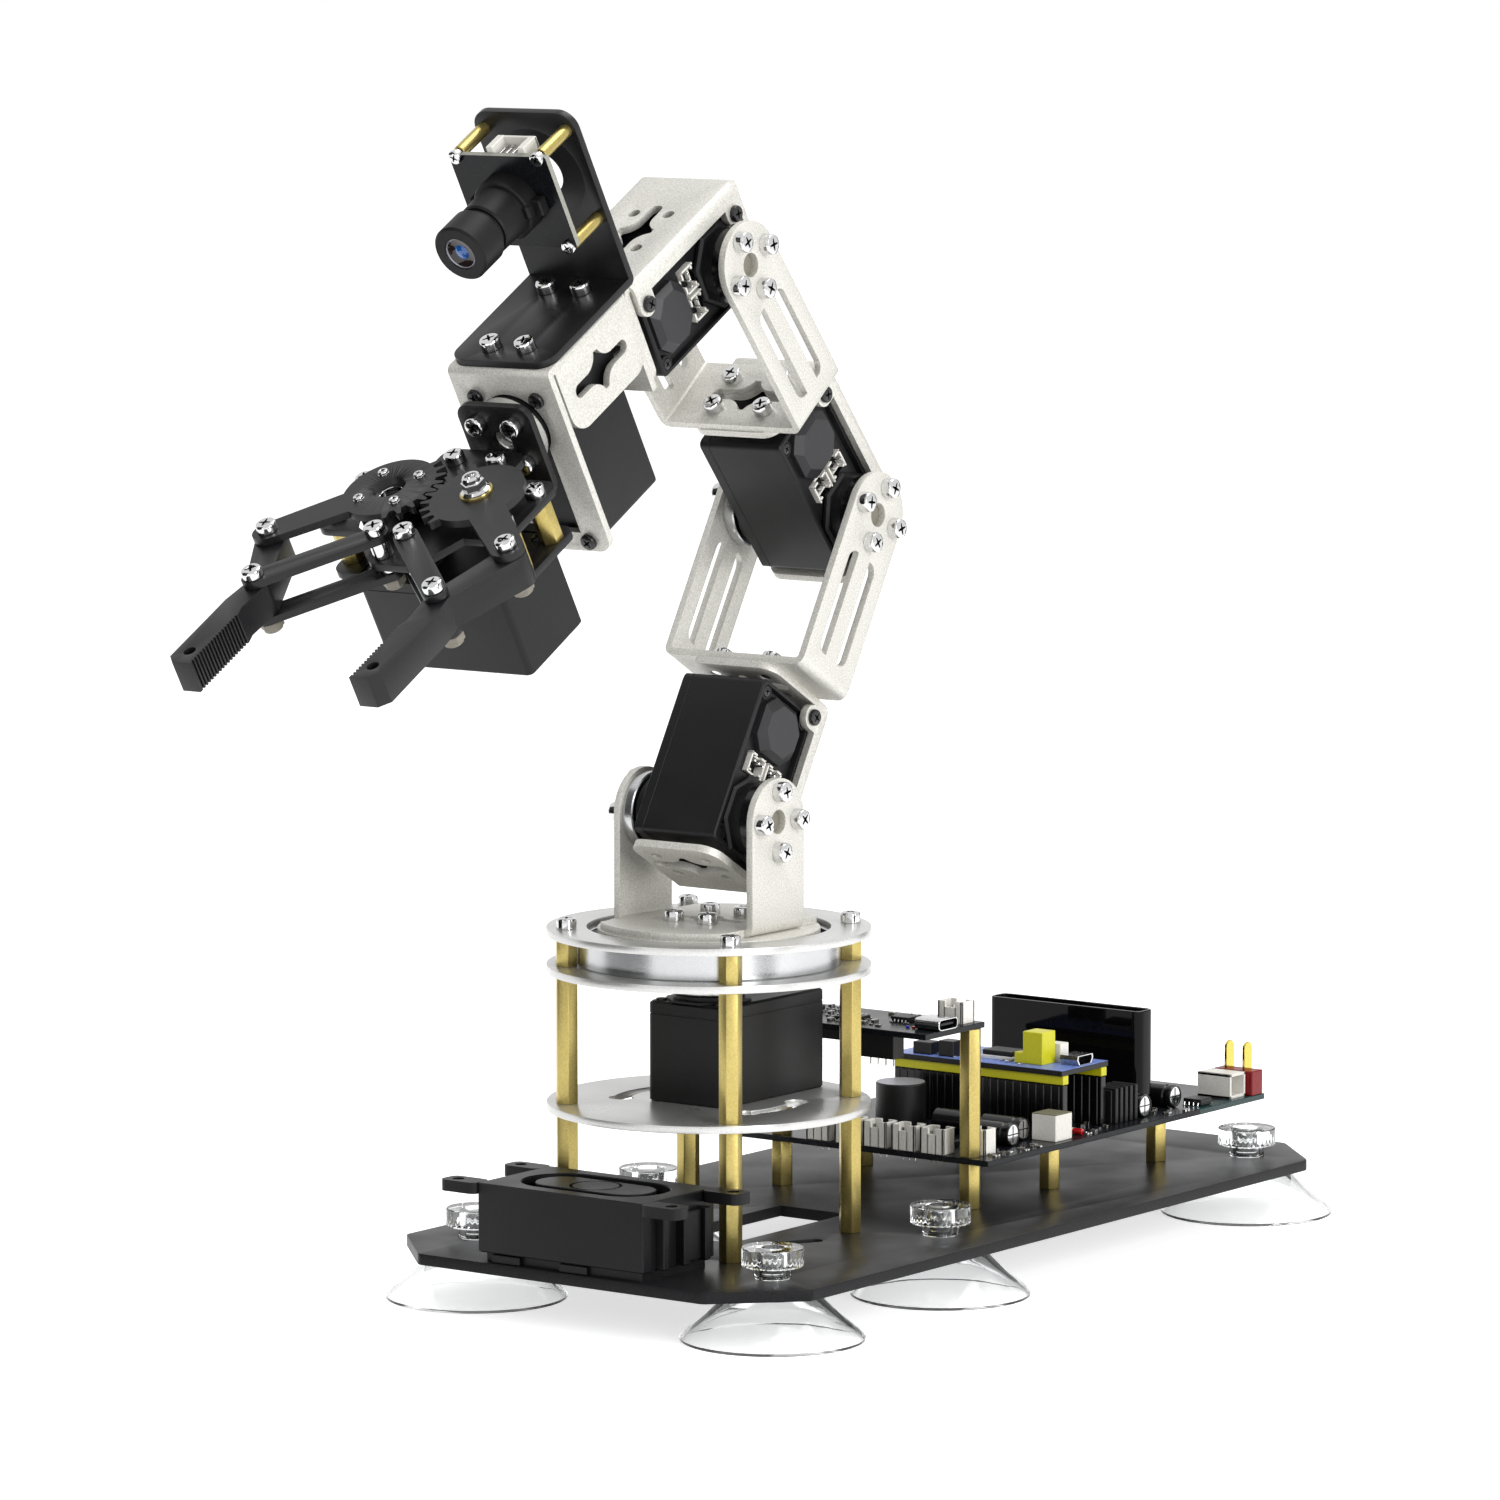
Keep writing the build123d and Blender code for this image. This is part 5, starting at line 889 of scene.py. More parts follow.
class ARM_OT_bearing(bpy.types.Operator):
    """Polished bearing rings with broken edges"""

    bl_idname = "robot_arm.bearing"
    bl_label = "Turntable bearing"

    def execute(self, context):
        outer = [(31.8, 89.6), (32.1, 89.25), (34.6, 89.25), (35, 89.65), (35, 96.7), (34.6, 97.1), (32.1, 97.1),
                 (31.8, 96.8)]
        inner = [(25.5, 89.8), (28.7, 89.55), (29, 89.85), (29, 96.6), (28.7, 96.9), (25.5, 96.9)]
        for node, profile in (("bearing_outer_ring", outer), ("bearing_inner_ring", inner)):
            bm = bmesh.new()
            add_lathe(bm, profile, BASE, 144, 0, closed=True)
            stand_in(node, made(bm, node), ["polished_steel"])
        return {"FINISHED"}


class ARM_OT_cups(bpy.types.Operator):
    """Clear suction cups and their notched thumb nuts"""

    bl_idname = "robot_arm.cups"
    bl_label = "Suction cups"

    def execute(self, context):
        cup, nut = bmesh.new(), bmesh.new()
        outside = [(0, 23), (2.9, 23), (3, 22.8), (3, 13), (11.2, 13), (11.6, 12.7), (13.4, 10.4), (17.2, 6.6),
                   (21.2, 3.2), (23.6, 1.3), (24.1, 0.8), (24.1, 0.15), (23.9, 0)]
        inside = [(23.3, 0), (22.0, 1.3), (19.6, 3.2), (15.8, 6.2), (12.4, 9.4), (10.4, 11.1), (0, 11.1)]
        for x in (-48.5, 48.5):
            for y in (-38.0, 37.8, 188.9):
                place = spot(BASE, x, y)
                add_lathe(cup, outside + inside, place, 96)
                self.add_nut(nut, place)
        stand_in("suction_cups", made(cup, "cups"), ["cup_plastic"])
        stand_in("cup_nuts", made(nut, "nuts"), ["nut_plastic"])
        return {"FINISHED"}

    def add_nut(self, bm, place):
        """One thumb nut: a rim with fine notches below, a plain band above, a neck and its hole."""
        teeth, steps = 36, 4
        rings = []
        for radius, height, deep in ((7.9, 19.2, 0.25), (8.1, 19.4, 0.25), (8.1, 20.2, 0.25), (8.1, 20.3, 0),
                                     (8.1, 23.8, 0), (7.9, 24, 0)):
            points = []
            for step in range(teeth * steps):
                wave = 0.5 - 0.5 * cos(2 * pi * step / steps)
                reach = radius - deep * wave ** 2
                turn = 2 * pi * step / (teeth * steps)
                points.append((reach * cos(turn), reach * sin(turn)))
            rings.append(loop(bm, points, height, place))
        walls(bm, rings)
        top, hole = [loop(bm, circle(3.05, 36), height, place) for height in (24, 16)]
        neck = [loop(bm, circle(radius, 36), height, place)
                for radius, height in ((4.9, 19.2), (4.9, 16.2), (4.7, 16))]
        web(bm, [rings[-1], top])
        wall(bm, top, hole)
        web(bm, [rings[0], neck[0]])
        walls(bm, neck)
        web(bm, [neck[2], hole])


class ARM_OT_camera(bpy.types.Operator):
    """Camera board, posts, connector and stepped lens"""

    bl_idname = "robot_arm.camera"
    bl_label = "Camera"

    def execute(self, context):
        lens_axis = axes(HAND, (0, 51.4, 0), (0, 0, -1), (0, 1, 0), (1, 0, 0))
        self.add_bracket(lens_axis)
        self.add_lens(lens_axis)
        self.add_board(lens_axis)
        self.add_posts(lens_axis)
        return {"FINISHED"}

    def add_bracket(self, place):
        """The plate, with its wide opening drawn in to the one that shows."""
        bm = bmesh.new()
        put(bm, softened("camera_bracket"), HERE)
        ring = [(6.4, 36.51), (13.05, 36.51), (13.05, 38.49), (6.6, 38.49), (6.4, 38.3)]
        add_lathe(bm, ring, place, 64, closed=True)
        stand_in("camera_bracket", made(bm, "camera_bracket"), ["black_anodised"])

    def add_lens(self, place):
        """Stepped barrel, its front ring, the dark ring and the glass, on a two-lobed foot."""
        bm = bmesh.new()
        barrel = [(0, 52), (8.6, 52), (8.6, 56.6), (8.2, 57), (7.4, 57.2), (7.2, 65.4), (6.8, 66), (6.3, 66),
                  (6.3, 68), (7.3, 68), (7.7, 68.4), (7.7, 76.4), (7.1, 77), (4.5, 77), (4.3, 76.6)]
        add_lathe(bm, barrel, place, 64, 0)
        for profile, index in (
            ([(4.3, 76.6), (4.0, 76.45)], 2),
            ([(4.0, 76.45), (3.2, 76.2), (2.1, 76.0)], 3),
            ([(2.1, 76.0), (1.6, 76.35), (0.9, 76.6), (0, 76.7)], 1),
        ):
            add_lathe(bm, profile, place, 48, index)
        for x in (-8.4, 8.4):
            add_brick(bm, (x, 0, 53.6), (5.6, 4.6, 3.2), place, 0.4, 0)
            add_brick(bm, (x * 0.86, 0, 56), (3.4, 4.0, 3.4), place, 0.6, 0)
        stand_in("camera_lens", made(bm, "lens"), ["rubber", "lens_glass", "grey_metal", "dark_glass"])

    def add_board(self, place):
        """The board with its pale edge and the open socket behind it."""
        bm = bmesh.new()
        board = rounded(-15.4, 15.4, -13.4, 13.4, 0.6)
        rings = [loop(bm, board, height, place) for height in (50.4, 50.45, 51.95, 52)]
        bm.faces.new(rings[0])
        bm.faces.new(rings[-1])
        for low, high, index in zip(rings, rings[1:], (0, 3, 0)):
            wall(bm, low, high, index)
        add_bricks(bm, place, (
            ((2, 12.4, 44.6), (12, 4.6, 0.8), 0.1, 1),
            ((-3, 12.4, 47.4), (2, 5, 6), 0.15, 1),
            ((7, 12.4, 47.4), (2, 5, 6), 0.15, 1),
            ((2, 10.6, 47.4), (11, 1, 6), 0.15, 1),
        ))
        for step in range(4):
            add_brick(bm, (-1 + 2 * step, 12.4, 47.6), (0.6, 0.6, 5), place, 0.05, 2)
        stand_in("camera_board", made(bm, "camera_board"), ["board_black", "white_nylon", "zinc", "board_edge"])

    def add_posts(self, place):
        """Four round posts with their screws."""
        bm = bmesh.new()
        screw = cross_head("post_head", 1.9, 1.2, 1.0)
        post = [(0, 38.5), (1.75, 38.5), (1.75, 50.2), (1.6, 50.4), (0, 50.4)]
        for x in (-13, 13):
            for y in (-13, 13):
                add_lathe(bm, post, spot(place, x, y), 32)
                put(bm, screw, spot(place, x, y, 52, turned(x * 3 + y, "Z")), 1)
        stand_in("camera_posts", made(bm, "camera_posts"), ["brass", "zinc", "recess"])


# Gripper: places along the hand and across it, and heights above its plates' plane, in millimetres.
GEARS_ALONG = 115.9
GEARS_APART = 14
PINS_ALONG = 135.4
PINS_ACROSS = 4.7
FINGER_PINS = ((137.5, 38), (157, 28.7))
HEAD_SEAT = 6.7
NUT_SEAT = -6.4


def add_lock_nut(bm, place, low, high, index):
    """Lock nut with a round collar at its outer end."""
    side = 1 if high > low else -1
    flat = high - side * 0.8
    add_hex(bm, 5.4, min(low, flat), max(low, flat), place, index)
    sunk = high - side * 0.5
    collar = [(2.5, high - side * 0.9), (2.5, high - side * 0.3), (2.1, high), (1.5, high), (1.5, sunk), (0, sunk)]
    add_lathe(bm, collar, place, 32, index)


class ARM_OT_gripper(bpy.types.Operator):
    """Bolts, sleeves, nuts and washers of the gripper, and the pivots its fingers carry"""

    bl_idname = "robot_arm.gripper"
    bl_label = "Gripper fasteners"

    def execute(self, context):
        up = axes(HAND, (0, 0, 0), (1, 0, 0), (0, 0, -1), (0, 1, 0))
        head = cross_head("pivot_head", 2.7, 2.4, 1.0)
        self.add_bolts(up, head)
        for side, name in ((-1, "left_finger"), (1, "right_finger")):
            self.add_finger(name, side, up, head)
        self.add_left_crank(up)
        return {"FINISHED"}

    def add_bolts(self, up, head):
        """Link pins with their sleeves, the free gear's bolt and washers, and the plates' screws."""
        bm = bmesh.new()
        for x in (-PINS_ACROSS, PINS_ACROSS):
            place = spot(up, PINS_ALONG, x)
            put(bm, head, spot(place, 0, 0, HEAD_SEAT, turned(31 * x, "Z")))
            for low, high in ((0, 4.5), (-4.2, -2)):
                sleeve = [(1.5, low), (2.55, low), (2.7, low + 0.15), (2.7, high - 0.15), (2.55, high), (1.5, high)]
                add_lathe(bm, sleeve, place, 32, 0, closed=True)
            add_lathe(bm, [(0, NUT_SEAT), (1.5, NUT_SEAT), (1.5, HEAD_SEAT), (0, HEAD_SEAT)], place, 24)
            add_lock_nut(bm, place, NUT_SEAT, NUT_SEAT - 3, 3)
        gear = spot(up, GEARS_ALONG, GEARS_APART)
        add_lathe(bm, [(1.5, 0), (2.7, 0), (2.7, 4.5), (1.5, 4.5)], gear, 32, 0, closed=True)
        add_lathe(bm, [(0, -5), (1.5, -5), (1.5, 10.6), (0, 10.6)], gear, 24)
        add_lathe(bm, [(1.5, 6.65), (4.3, 6.65), (4.3, 7.2), (1.5, 7.2)], gear, 40, 2, closed=True)
        add_lathe(bm, [(1.5, 7.2), (3.9, 7.2), (3.9, 7.7), (3.2, 8.2), (1.5, 8.2)], gear, 40, 0, closed=True)
        add_hex(bm, 5.4, 8.0, 10.4, gear)
        add_lathe(bm, [(2.5, 10.3), (2.5, 11.3), (2.2, 11.7), (1.6, 11.7), (1.5, 11.3), (1.5, 10.3)], gear, 32)
        add_lock_nut(bm, gear, -2, -5, 3)
        screw = cross_head("plate_head", 2.7, 2.7, 2.0)
        for along, x in ((106.25, -30.5), (106.25, 23.5), (120.25, -30.5), (120.25, 23.5), (94, -10.25), (94, 3.25)):
            put(bm, screw, spot(up, along, x, 0, turned(along + 17 * x, "Z")))
        face = axes(HAND, (86.3, 1.0, 0), (0, 0, -1), (0, 1, 0), (1, 0, 0))
        for x in (-5.66, 5.66):
            for y in (-5.66, 5.66):
                put(bm, screw, spot(face, x, y, 0, turned(11 * x + 5 * y, "Z")))
        stand_in("gripper_bolts", made(bm, "gripper_bolts"), ["zinc", "recess", "brass", "dull_nickel"])

    def add_finger(self, name, side, up, head):
        """The finger's plain bar, cut clear of the solid's plain bolts, with its two pivots dressed on top."""
        bars = bmesh.new()
        bars.from_mesh(softened(name))
        for height, way in ((4.45, 1), (-4.15, -1)):
            cut = bars.verts[:] + bars.edges[:] + bars.faces[:]
            seat = HAND @ (Vector((0, height, 0)) * MM)
            normal = HAND.to_3x3() @ Vector((0, way, 0))
            bmesh.ops.bisect_plane(bars, geom=cut, plane_co=seat, plane_no=normal, clear_outer=True)
        bm = bmesh.new()
        put(bm, made(bars, name + "_bars"), HERE)
        for (along, across), foot in zip(FINGER_PINS, (-4.1, NUT_SEAT)):
            place = spot(up, along, side * across)
            put(bm, head, spot(place, 0, 0, HEAD_SEAT, turned(along + side * across, "Z")), 1)
            add_lathe(bm, [(1.5, 4.4), (1.5, HEAD_SEAT), (0, HEAD_SEAT)], place, 24, 1)
            add_lathe(bm, [(1.5, -4.1), (1.5, foot), (0, foot)], place, 24, 1)
            add_lock_nut(bm, place, foot, foot - 3, 3)
        stand_in(name, made(bm, name), ["black_anodised", "zinc", "recess", "dull_nickel"])

    def add_left_crank(self, up):
        """The driven gear with its four small screws."""
        bm = bmesh.new()
        put(bm, softened("left_gear_crank", crisp=True), HERE)
        gear = spot(up, GEARS_ALONG, -GEARS_APART)
        small = cross_head("gear_head", 1.35, 0.9, 0.8)
        for turn in range(4):
            place = gear @ turned(45 + 90 * turn, "Z")
            put(bm, small, spot(place, 8.1, 0, 6.6, turned(50 * turn, "Z")), 1)
        add_lathe(bm, [(4.45, 4.7), (3.2, 4.7), (2.9, 4.5), (2.9, 1.0)], gear, 48, 1)
        add_lathe(bm, [(2.3, 0.8), (2.1, 2.6), (0, 2.6)], gear, 32, 1)
        stand_in("left_gear_crank", made(bm, "left_crank"), ["black_anodised", "zinc", "recess"])


def slot_outline(length, width, steps=16):
    """Outline of a slot with round ends."""
    return rounded(-length / 2, length / 2, -width / 2, width / 2, width / 2, steps)


class ARM_OT_speaker(bpy.types.Operator):
    """Speaker box with its oval surround, cone and stepped ends"""

    bl_idname = "robot_arm.speaker"
    bl_label = "Speaker"

    def execute(self, context):
        place = spot(BASE, 0, -49.5)
        bm = bmesh.new()
        rings = [loop(bm, rounded(-half_x, half_x, -half_y, half_y, 0.8, 3), height, place)
                 for half_x, half_y, height in ((25.4, 13.9, 16), (25.4, 13.9, 18.6), (26.7, 15.2, 18.6),
                                                (27, 15.5, 18.9), (27, 15.5, 36.5), (26.7, 15.2, 36.8))]
        bm.faces.new(rings[0])
        walls(bm, rings)
        ovals = [loop(bm, slot_outline(span, span - 21), height, place)
                 for span, height in ((43.6, 36.8), (43, 36.5), (43, 34.8))]
        web(bm, [rings[-1], ovals[0]])
        walls(bm, ovals)
        bm.faces.new(ovals[-1])
        for side in (-1, 1):
            for y in (-13.5, 13.0):
                self.add_ear(bm, place, side, y)
            for y, width in ((-9.0, 2.2), (0.0, 2.6), (9.0, 2.2)):
                add_brick(bm, (side * 28.2, y, 25.9), (3.2, width, 14), place, 0.3)
            add_brick(bm, (side * 27.6, 4.4, 25.9), (1.6, 6.4, 13), place, 0.2)
            # A thin near-black patch on each end, in the painted-shade finish.
            add_brick(bm, (side * 27.9, 10.8, 21.6), (0.3, 4.2, 3), place, 0.05, 1)
        for x in (-18, 4):
            add_brick(bm, (x, -14.4, 17.2), (9, 1.6, 2.2), place, 0.2)
        stand_in("speaker_box", made(bm, "speaker_box"), ["speaker_plastic", "recess"])
        bm = bmesh.new()
        shape = ((0.4, 34.9), (3.4, 34.9), (3.6, 35.1), (3.6, 36.4), (3.8, 36.6))
        rolls = [loop(bm, slot_outline(43 - 2 * inset, 22 - 2 * inset), height, place) for inset, height in shape]
        # The flat ring at the foot of the surround and the face under it take the first finish: painted shade in the
        # gap round the cone.
        wall(bm, rolls[0], rolls[1])
        walls(bm, rolls[1:], 1)
        bm.faces.new(rolls[0])
        groove = [loop(bm, circle(radius, 48), height, place)
                  for radius, height in ((6.9, 36.6), (6.9, 36.0), (6.2, 36.0), (6.2, 36.6))]
        web(bm, [rolls[-1], groove[0]], 1)
        walls(bm, groove)
        bm.faces.new(groove[-1]).material_index = 1
        stand_in("speaker_cone", made(bm, "speaker_cone"), ["recess", "speaker_plastic"])
        return {"FINISHED"}

    def add_ear(self, bm, place, side, y):
        """One flat ear with its screw hole."""
        ear = rounded(26.8, 38.5, y - 3.5, y + 3.5, 2)
        hole = circle(1.65, 24, 34.7, y)
        faces = []
        for height in (33.8, 36.8):
            faces.append([loop(bm, [(side * a, b) for a, b in line], height, place) for line in (ear, hole)])
        for low, high in zip(*faces):
            wall(bm, low, high)
        for pair in faces:
            web(bm, pair)


# Heights of the boards' upper faces and places of the servo sockets, in millimetres from the base's axis.
BOARD_TOP = 30.1
CORE_TOP = 48.0
UPPER_TOP = 66.8
SERVO_SOCKETS = ((31.5, 80.5), (22, 74.5), (12.5, 74.5), (3, 74.5), (-6.5, 74.5), (-16, 74.5))


def scatter(bm, area, height, count, seed, index):
    """Small surface parts with metal ends, spread over an area of a board."""
    low_x, high_x, low_y, high_y = area
    for number in range(count):
        x = low_x + (high_x - low_x) * ((seed + number * 0.618034) % 1)
        y = low_y + (high_y - low_y) * ((seed * 3 + number * 0.754878) % 1)
        span, wide, high = ((1.6, 0.8, 0.5), (2.0, 1.2, 0.7), (1.0, 0.6, 0.4))[number % 3]
        if number % 2:
            span, wide = wide, span
        middle = height + high / 2
        add_brick(bm, (x, y, middle), (span * 0.6, wide * 0.98, high), BASE, 0.04, index)
        along = span > wide
        end = (span * 0.374, 0) if along else (0, wide * 0.374)
        size = (span * 0.3, wide, high * 1.05) if along else (span, wide * 0.3, high * 1.05)
        for sign in (-1, 1):
            add_brick(bm, (x + sign * end[0], y + sign * end[1], middle), size, BASE, 0.04, index + 1)


def add_chip(bm, x, y, height, length, width, high, legs, index):
    """Black chip with bent metal legs on its two long sides."""
    add_brick(bm, (x, y, height + 0.15 + high / 2), (length, width, high), BASE, 0.15, index)
    for number in range(legs):
        at = x - length / 2 + (number + 0.5) * length / legs
        for sign in (-1, 1):
            bends = ((-0.1, high * 0.6), (0.45, high * 0.55), (0.65, 0.15), (1.2, 0.1))
            path = [(at, y + sign * (width / 2 + out), height + rise) for out, rise in bends]
            add_tube(bm, path, 0.16, BASE, 6, index + 1)


def add_box_socket(bm, x, y, height, size, pins, index, notch=2.2):
    """Open white header: plain walls, a notched one behind, and pins over a floor in painted shade."""
    length, width, high = size
    thick = 0.7
    middle, deep, span = height + high / 2, (width - thick) / 2, (length - notch) / 2
    for sign in (-1, 1):
        add_brick(bm, (x + sign * (length - thick) / 2, y, middle), (thick, width, high), BASE, 0.1, index)
        for side in (deep, -deep):
            post = (x + sign * (notch + span) / 2, y + side, middle)
            add_brick(bm, post, (span, thick, high), BASE, 0.1, index)
    low = high - 1.6
    add_brick(bm, (x, y - deep, height + low / 2), (notch + 1, thick, low), BASE, 0.1, index)
    # The floor takes the next finish: painted shade inside the header.
    floor = high - 3
    add_brick(bm, (x, y, height + floor / 2), (length - 1.2, width - 1.2, floor), BASE, 0.1, index + 1)
    for number in range(pins):
        at = x + (number - (pins - 1) / 2) * 2.0
        add_brick(bm, (at, y, height + (high - 1.2) / 2), (0.64, 0.64, high - 1.2), BASE, 0.12, index + 2)


def add_usb(bm, rings):
    """Metal shell of a small socket, from its outer end to the dark floor inside."""
    walls(bm, rings, 2)
    bm.faces.new(rings[0]).material_index = 2
    bm.faces.new(rings[-1]).material_index = 3


class ARM_OT_boards(bpy.types.Operator):
    """Main, upper and core boards with their small parts"""

    bl_idname = "robot_arm.boards"
    bl_label = "Boards"

    def execute(self, context):
        self.add_main_board()
        self.add_upper_board()
        self.add_core_board()
        return {"FINISHED"}

    def add_main_board(self):
        """The long black board with its small parts, and the servo sockets at its front."""
        bm = bmesh.new()
        add_bricks(bm, BASE, (
            ((-1.5, 140.5, 29.3), (85, 139, 1.6), 0.12, 0),
            ((38.9, 193, 29.3), (4.3, 33.9, 1.62), 0.12, 5),
        ))
        for area, count, seed in (
            ((36, 40, 74, 100), 14, 0.13),
            ((-42, -36, 74, 200), 24, 0.41),
            ((-26, 34, 84, 92), 26, 0.27),
            ((28, 40, 120, 140), 12, 0.61),
            ((-24, 26, 176, 206), 30, 0.83),
            ((30, 40, 162, 172), 8, 0.37),
        ):
            scatter(bm, area, BOARD_TOP, count, seed, 1)
        add_chip(bm, 16, 85.5, BOARD_TOP, 10, 4, 1.4, 8, 3)
        add_chip(bm, -24, 88, BOARD_TOP, 9, 6, 1.4, 7, 3)
        add_chip(bm, 0, 190, BOARD_TOP, 12, 7, 1.6, 8, 3)
        for x, y in ((2.5, 90), (36.5, 121)):
            for start, end, radius, steps, index in ((-3, 3, 0.25, 8, 2), (-1.7, 1.7, 0.85, 16, 6),
                                                     (-1.9, -1.2, 0.9, 16, 7)):
                add_tube(bm, [(x + start, y, 31), (x + end, y, 31)], radius, BASE, steps, index)
        for x, y in SERVO_SOCKETS:
            for step in (-2, 0, 2):
                add_tube(bm, [(x + step, y, 28.6), (x + step, y, 27.2)], 0.32, BASE, 8, 2)
        stand_in("main_board", made(bm, "main_board"), ["board_black", "ceramic", "zinc", "chip_black", "zinc",
                                                        "board_green", "red_glass", "white_nylon"])
        bm = bmesh.new()
        for x, y in SERVO_SOCKETS:
            add_box_socket(bm, x, y, BOARD_TOP, (7.8, 5.8, 7.0), 3, 0)
        stand_in("servo_sockets", made(bm, "servo_sockets"), ["white_nylon", "recess", "zinc"])

    def add_upper_board(self):
        """The short board on its posts, with a socket for a cable and one for power."""
        bm = bmesh.new()
        add_brick(bm, (-0.5, 64, 66), (71, 28, 1.6), BASE, 0.12)
        scatter(bm, (-33, 22, 52, 76), UPPER_TOP, 70, 0.19, 1)
        add_chip(bm, 17, 66, UPPER_TOP, 6, 5, 1.3, 5, 3)
        add_chip(bm, 4, 60, UPPER_TOP, 7, 7, 1.0, 6, 3)
        add_chip(bm, -16, 66, UPPER_TOP, 9, 6, 1.3, 7, 3)
        for x, index in ((24.4, 9), (26.4, 8)):
            add_brick(bm, (x, 56.8, UPPER_TOP + 0.3), (1.0, 0.6, 0.5), BASE, 0.05, index)
        usb = axes(BASE, (27.5, 60, UPPER_TOP + 1.65), (0, 1, 0), (0, 0, 1), (1, 0, 0))
        rings = []
        for inset, height in ((0, 0), (0, 7.9), (0.1, 8), (0.32, 8), (0.36, 7.7), (0.36, 2.5)):
            half, tall = 4.5 - inset, 1.6 - inset
            rings.append(loop(bm, rounded(-half, half, -tall, tall, 1.3 - inset), height, usb))
        add_usb(bm, rings)
        add_brick(bm, (0, 0, 4.9), (6.4, 0.7, 5), usb, 0.1, 3)
        add_box_socket(bm, 29, 73, UPPER_TOP, (8, 6, 6), 2, 5, 3.0)
        add_brick(bm, (18, 54, 61.9), (11, 5, 6.5), BASE, 0.2, 3)
        for step in range(4):
            x = 14.2 + step * 2.54
            add_tube(bm, [(x, 54, 59), (x, 54, 56.4)], 0.32, BASE, 8, 2)
        add_brick(bm, (2, 55, 63.6), (11, 3, 3.2), BASE, 0.2, 3)
        stand_in("upper_board", made(bm, "upper_board"), ["board_black", "ceramic", "zinc", "chip_black", "zinc",
                                                          "white_nylon", "recess", "zinc", "red_glass", "blue_part"])

    def add_core_board(self):
        """The blue board on its two header strips."""
        bm = bmesh.new()
        add_bricks(bm, BASE, (
            ((5.5, 128.5, 47.15), (57, 23, 1.5), 0.12, 3),
            ((5.5, 128.5, 47.92), (56.8, 22.8, 0.16), 0.05, 0),
            ((21, 125, CORE_TOP + 4.5), (6.5, 6.5, 9), 0.15, 6),
            ((16.6, 123.4, CORE_TOP + 1.5), (3.4, 3.2, 3), 0.15, 6),
            ((23, 131, CORE_TOP + 2.6), (5, 4, 5.2), 0.15, 5),
            ((-14, 121, CORE_TOP + 1.7), (6, 5, 3.4), 0.2, 3),
            ((-6, 121, CORE_TOP + 2.2), (5, 4.4, 4.4), 0.2, 3),
            ((8, 127, CORE_TOP + 0.5), (11, 8, 1.0), 0.1, 5),
            ((8, 127, CORE_TOP + 1.7), (10, 7, 1.4), 0.2, 3),
        ))
        scatter(bm, (-20, 26, 119, 138), CORE_TOP, 40, 0.57, 1)
        usb = axes(BASE, (27, 130, CORE_TOP + 1.4), (0, 1, 0), (0, 0, 1), (1, 0, 0))
        outline = [(-3.7, 1.35), (3.7, 1.35), (3.9, 0.2), (2.9, -1.35), (-2.9, -1.35), (-3.9, 0.2)]
        rings = [loop(bm, [(x * keep, y * keep) for x, y in outline], height, usb)
                 for keep, height in ((1, 0), (1, 6), (0.86, 6), (0.84, 1))]
        add_usb(bm, rings)
        stand_in("core_board", made(bm, "core_board"), ["board_blue", "ceramic", "zinc", "chip_black", "zinc",
                                                        "white_nylon", "yellow_nylon"])
        bm = bmesh.new()
        for y in (119, 138):
            add_brick(bm, (5.5, y, 45.15), (57, 2.6, 2.5), BASE, 0.15, 1)
            add_brick(bm, (5.5, y, 36.9), (56.6, 2.2, 13.8), BASE, 0.15, 0)
            for step in range(22):
                add_brick(bm, (-21.7 + step * 2.54, y, 36.9), (1.9, 2.6, 13.4), BASE, 0.2, 0)
        stand_in("header_strips", made(bm, "header_strips"), ["black_gloss", "yellow_nylon"])


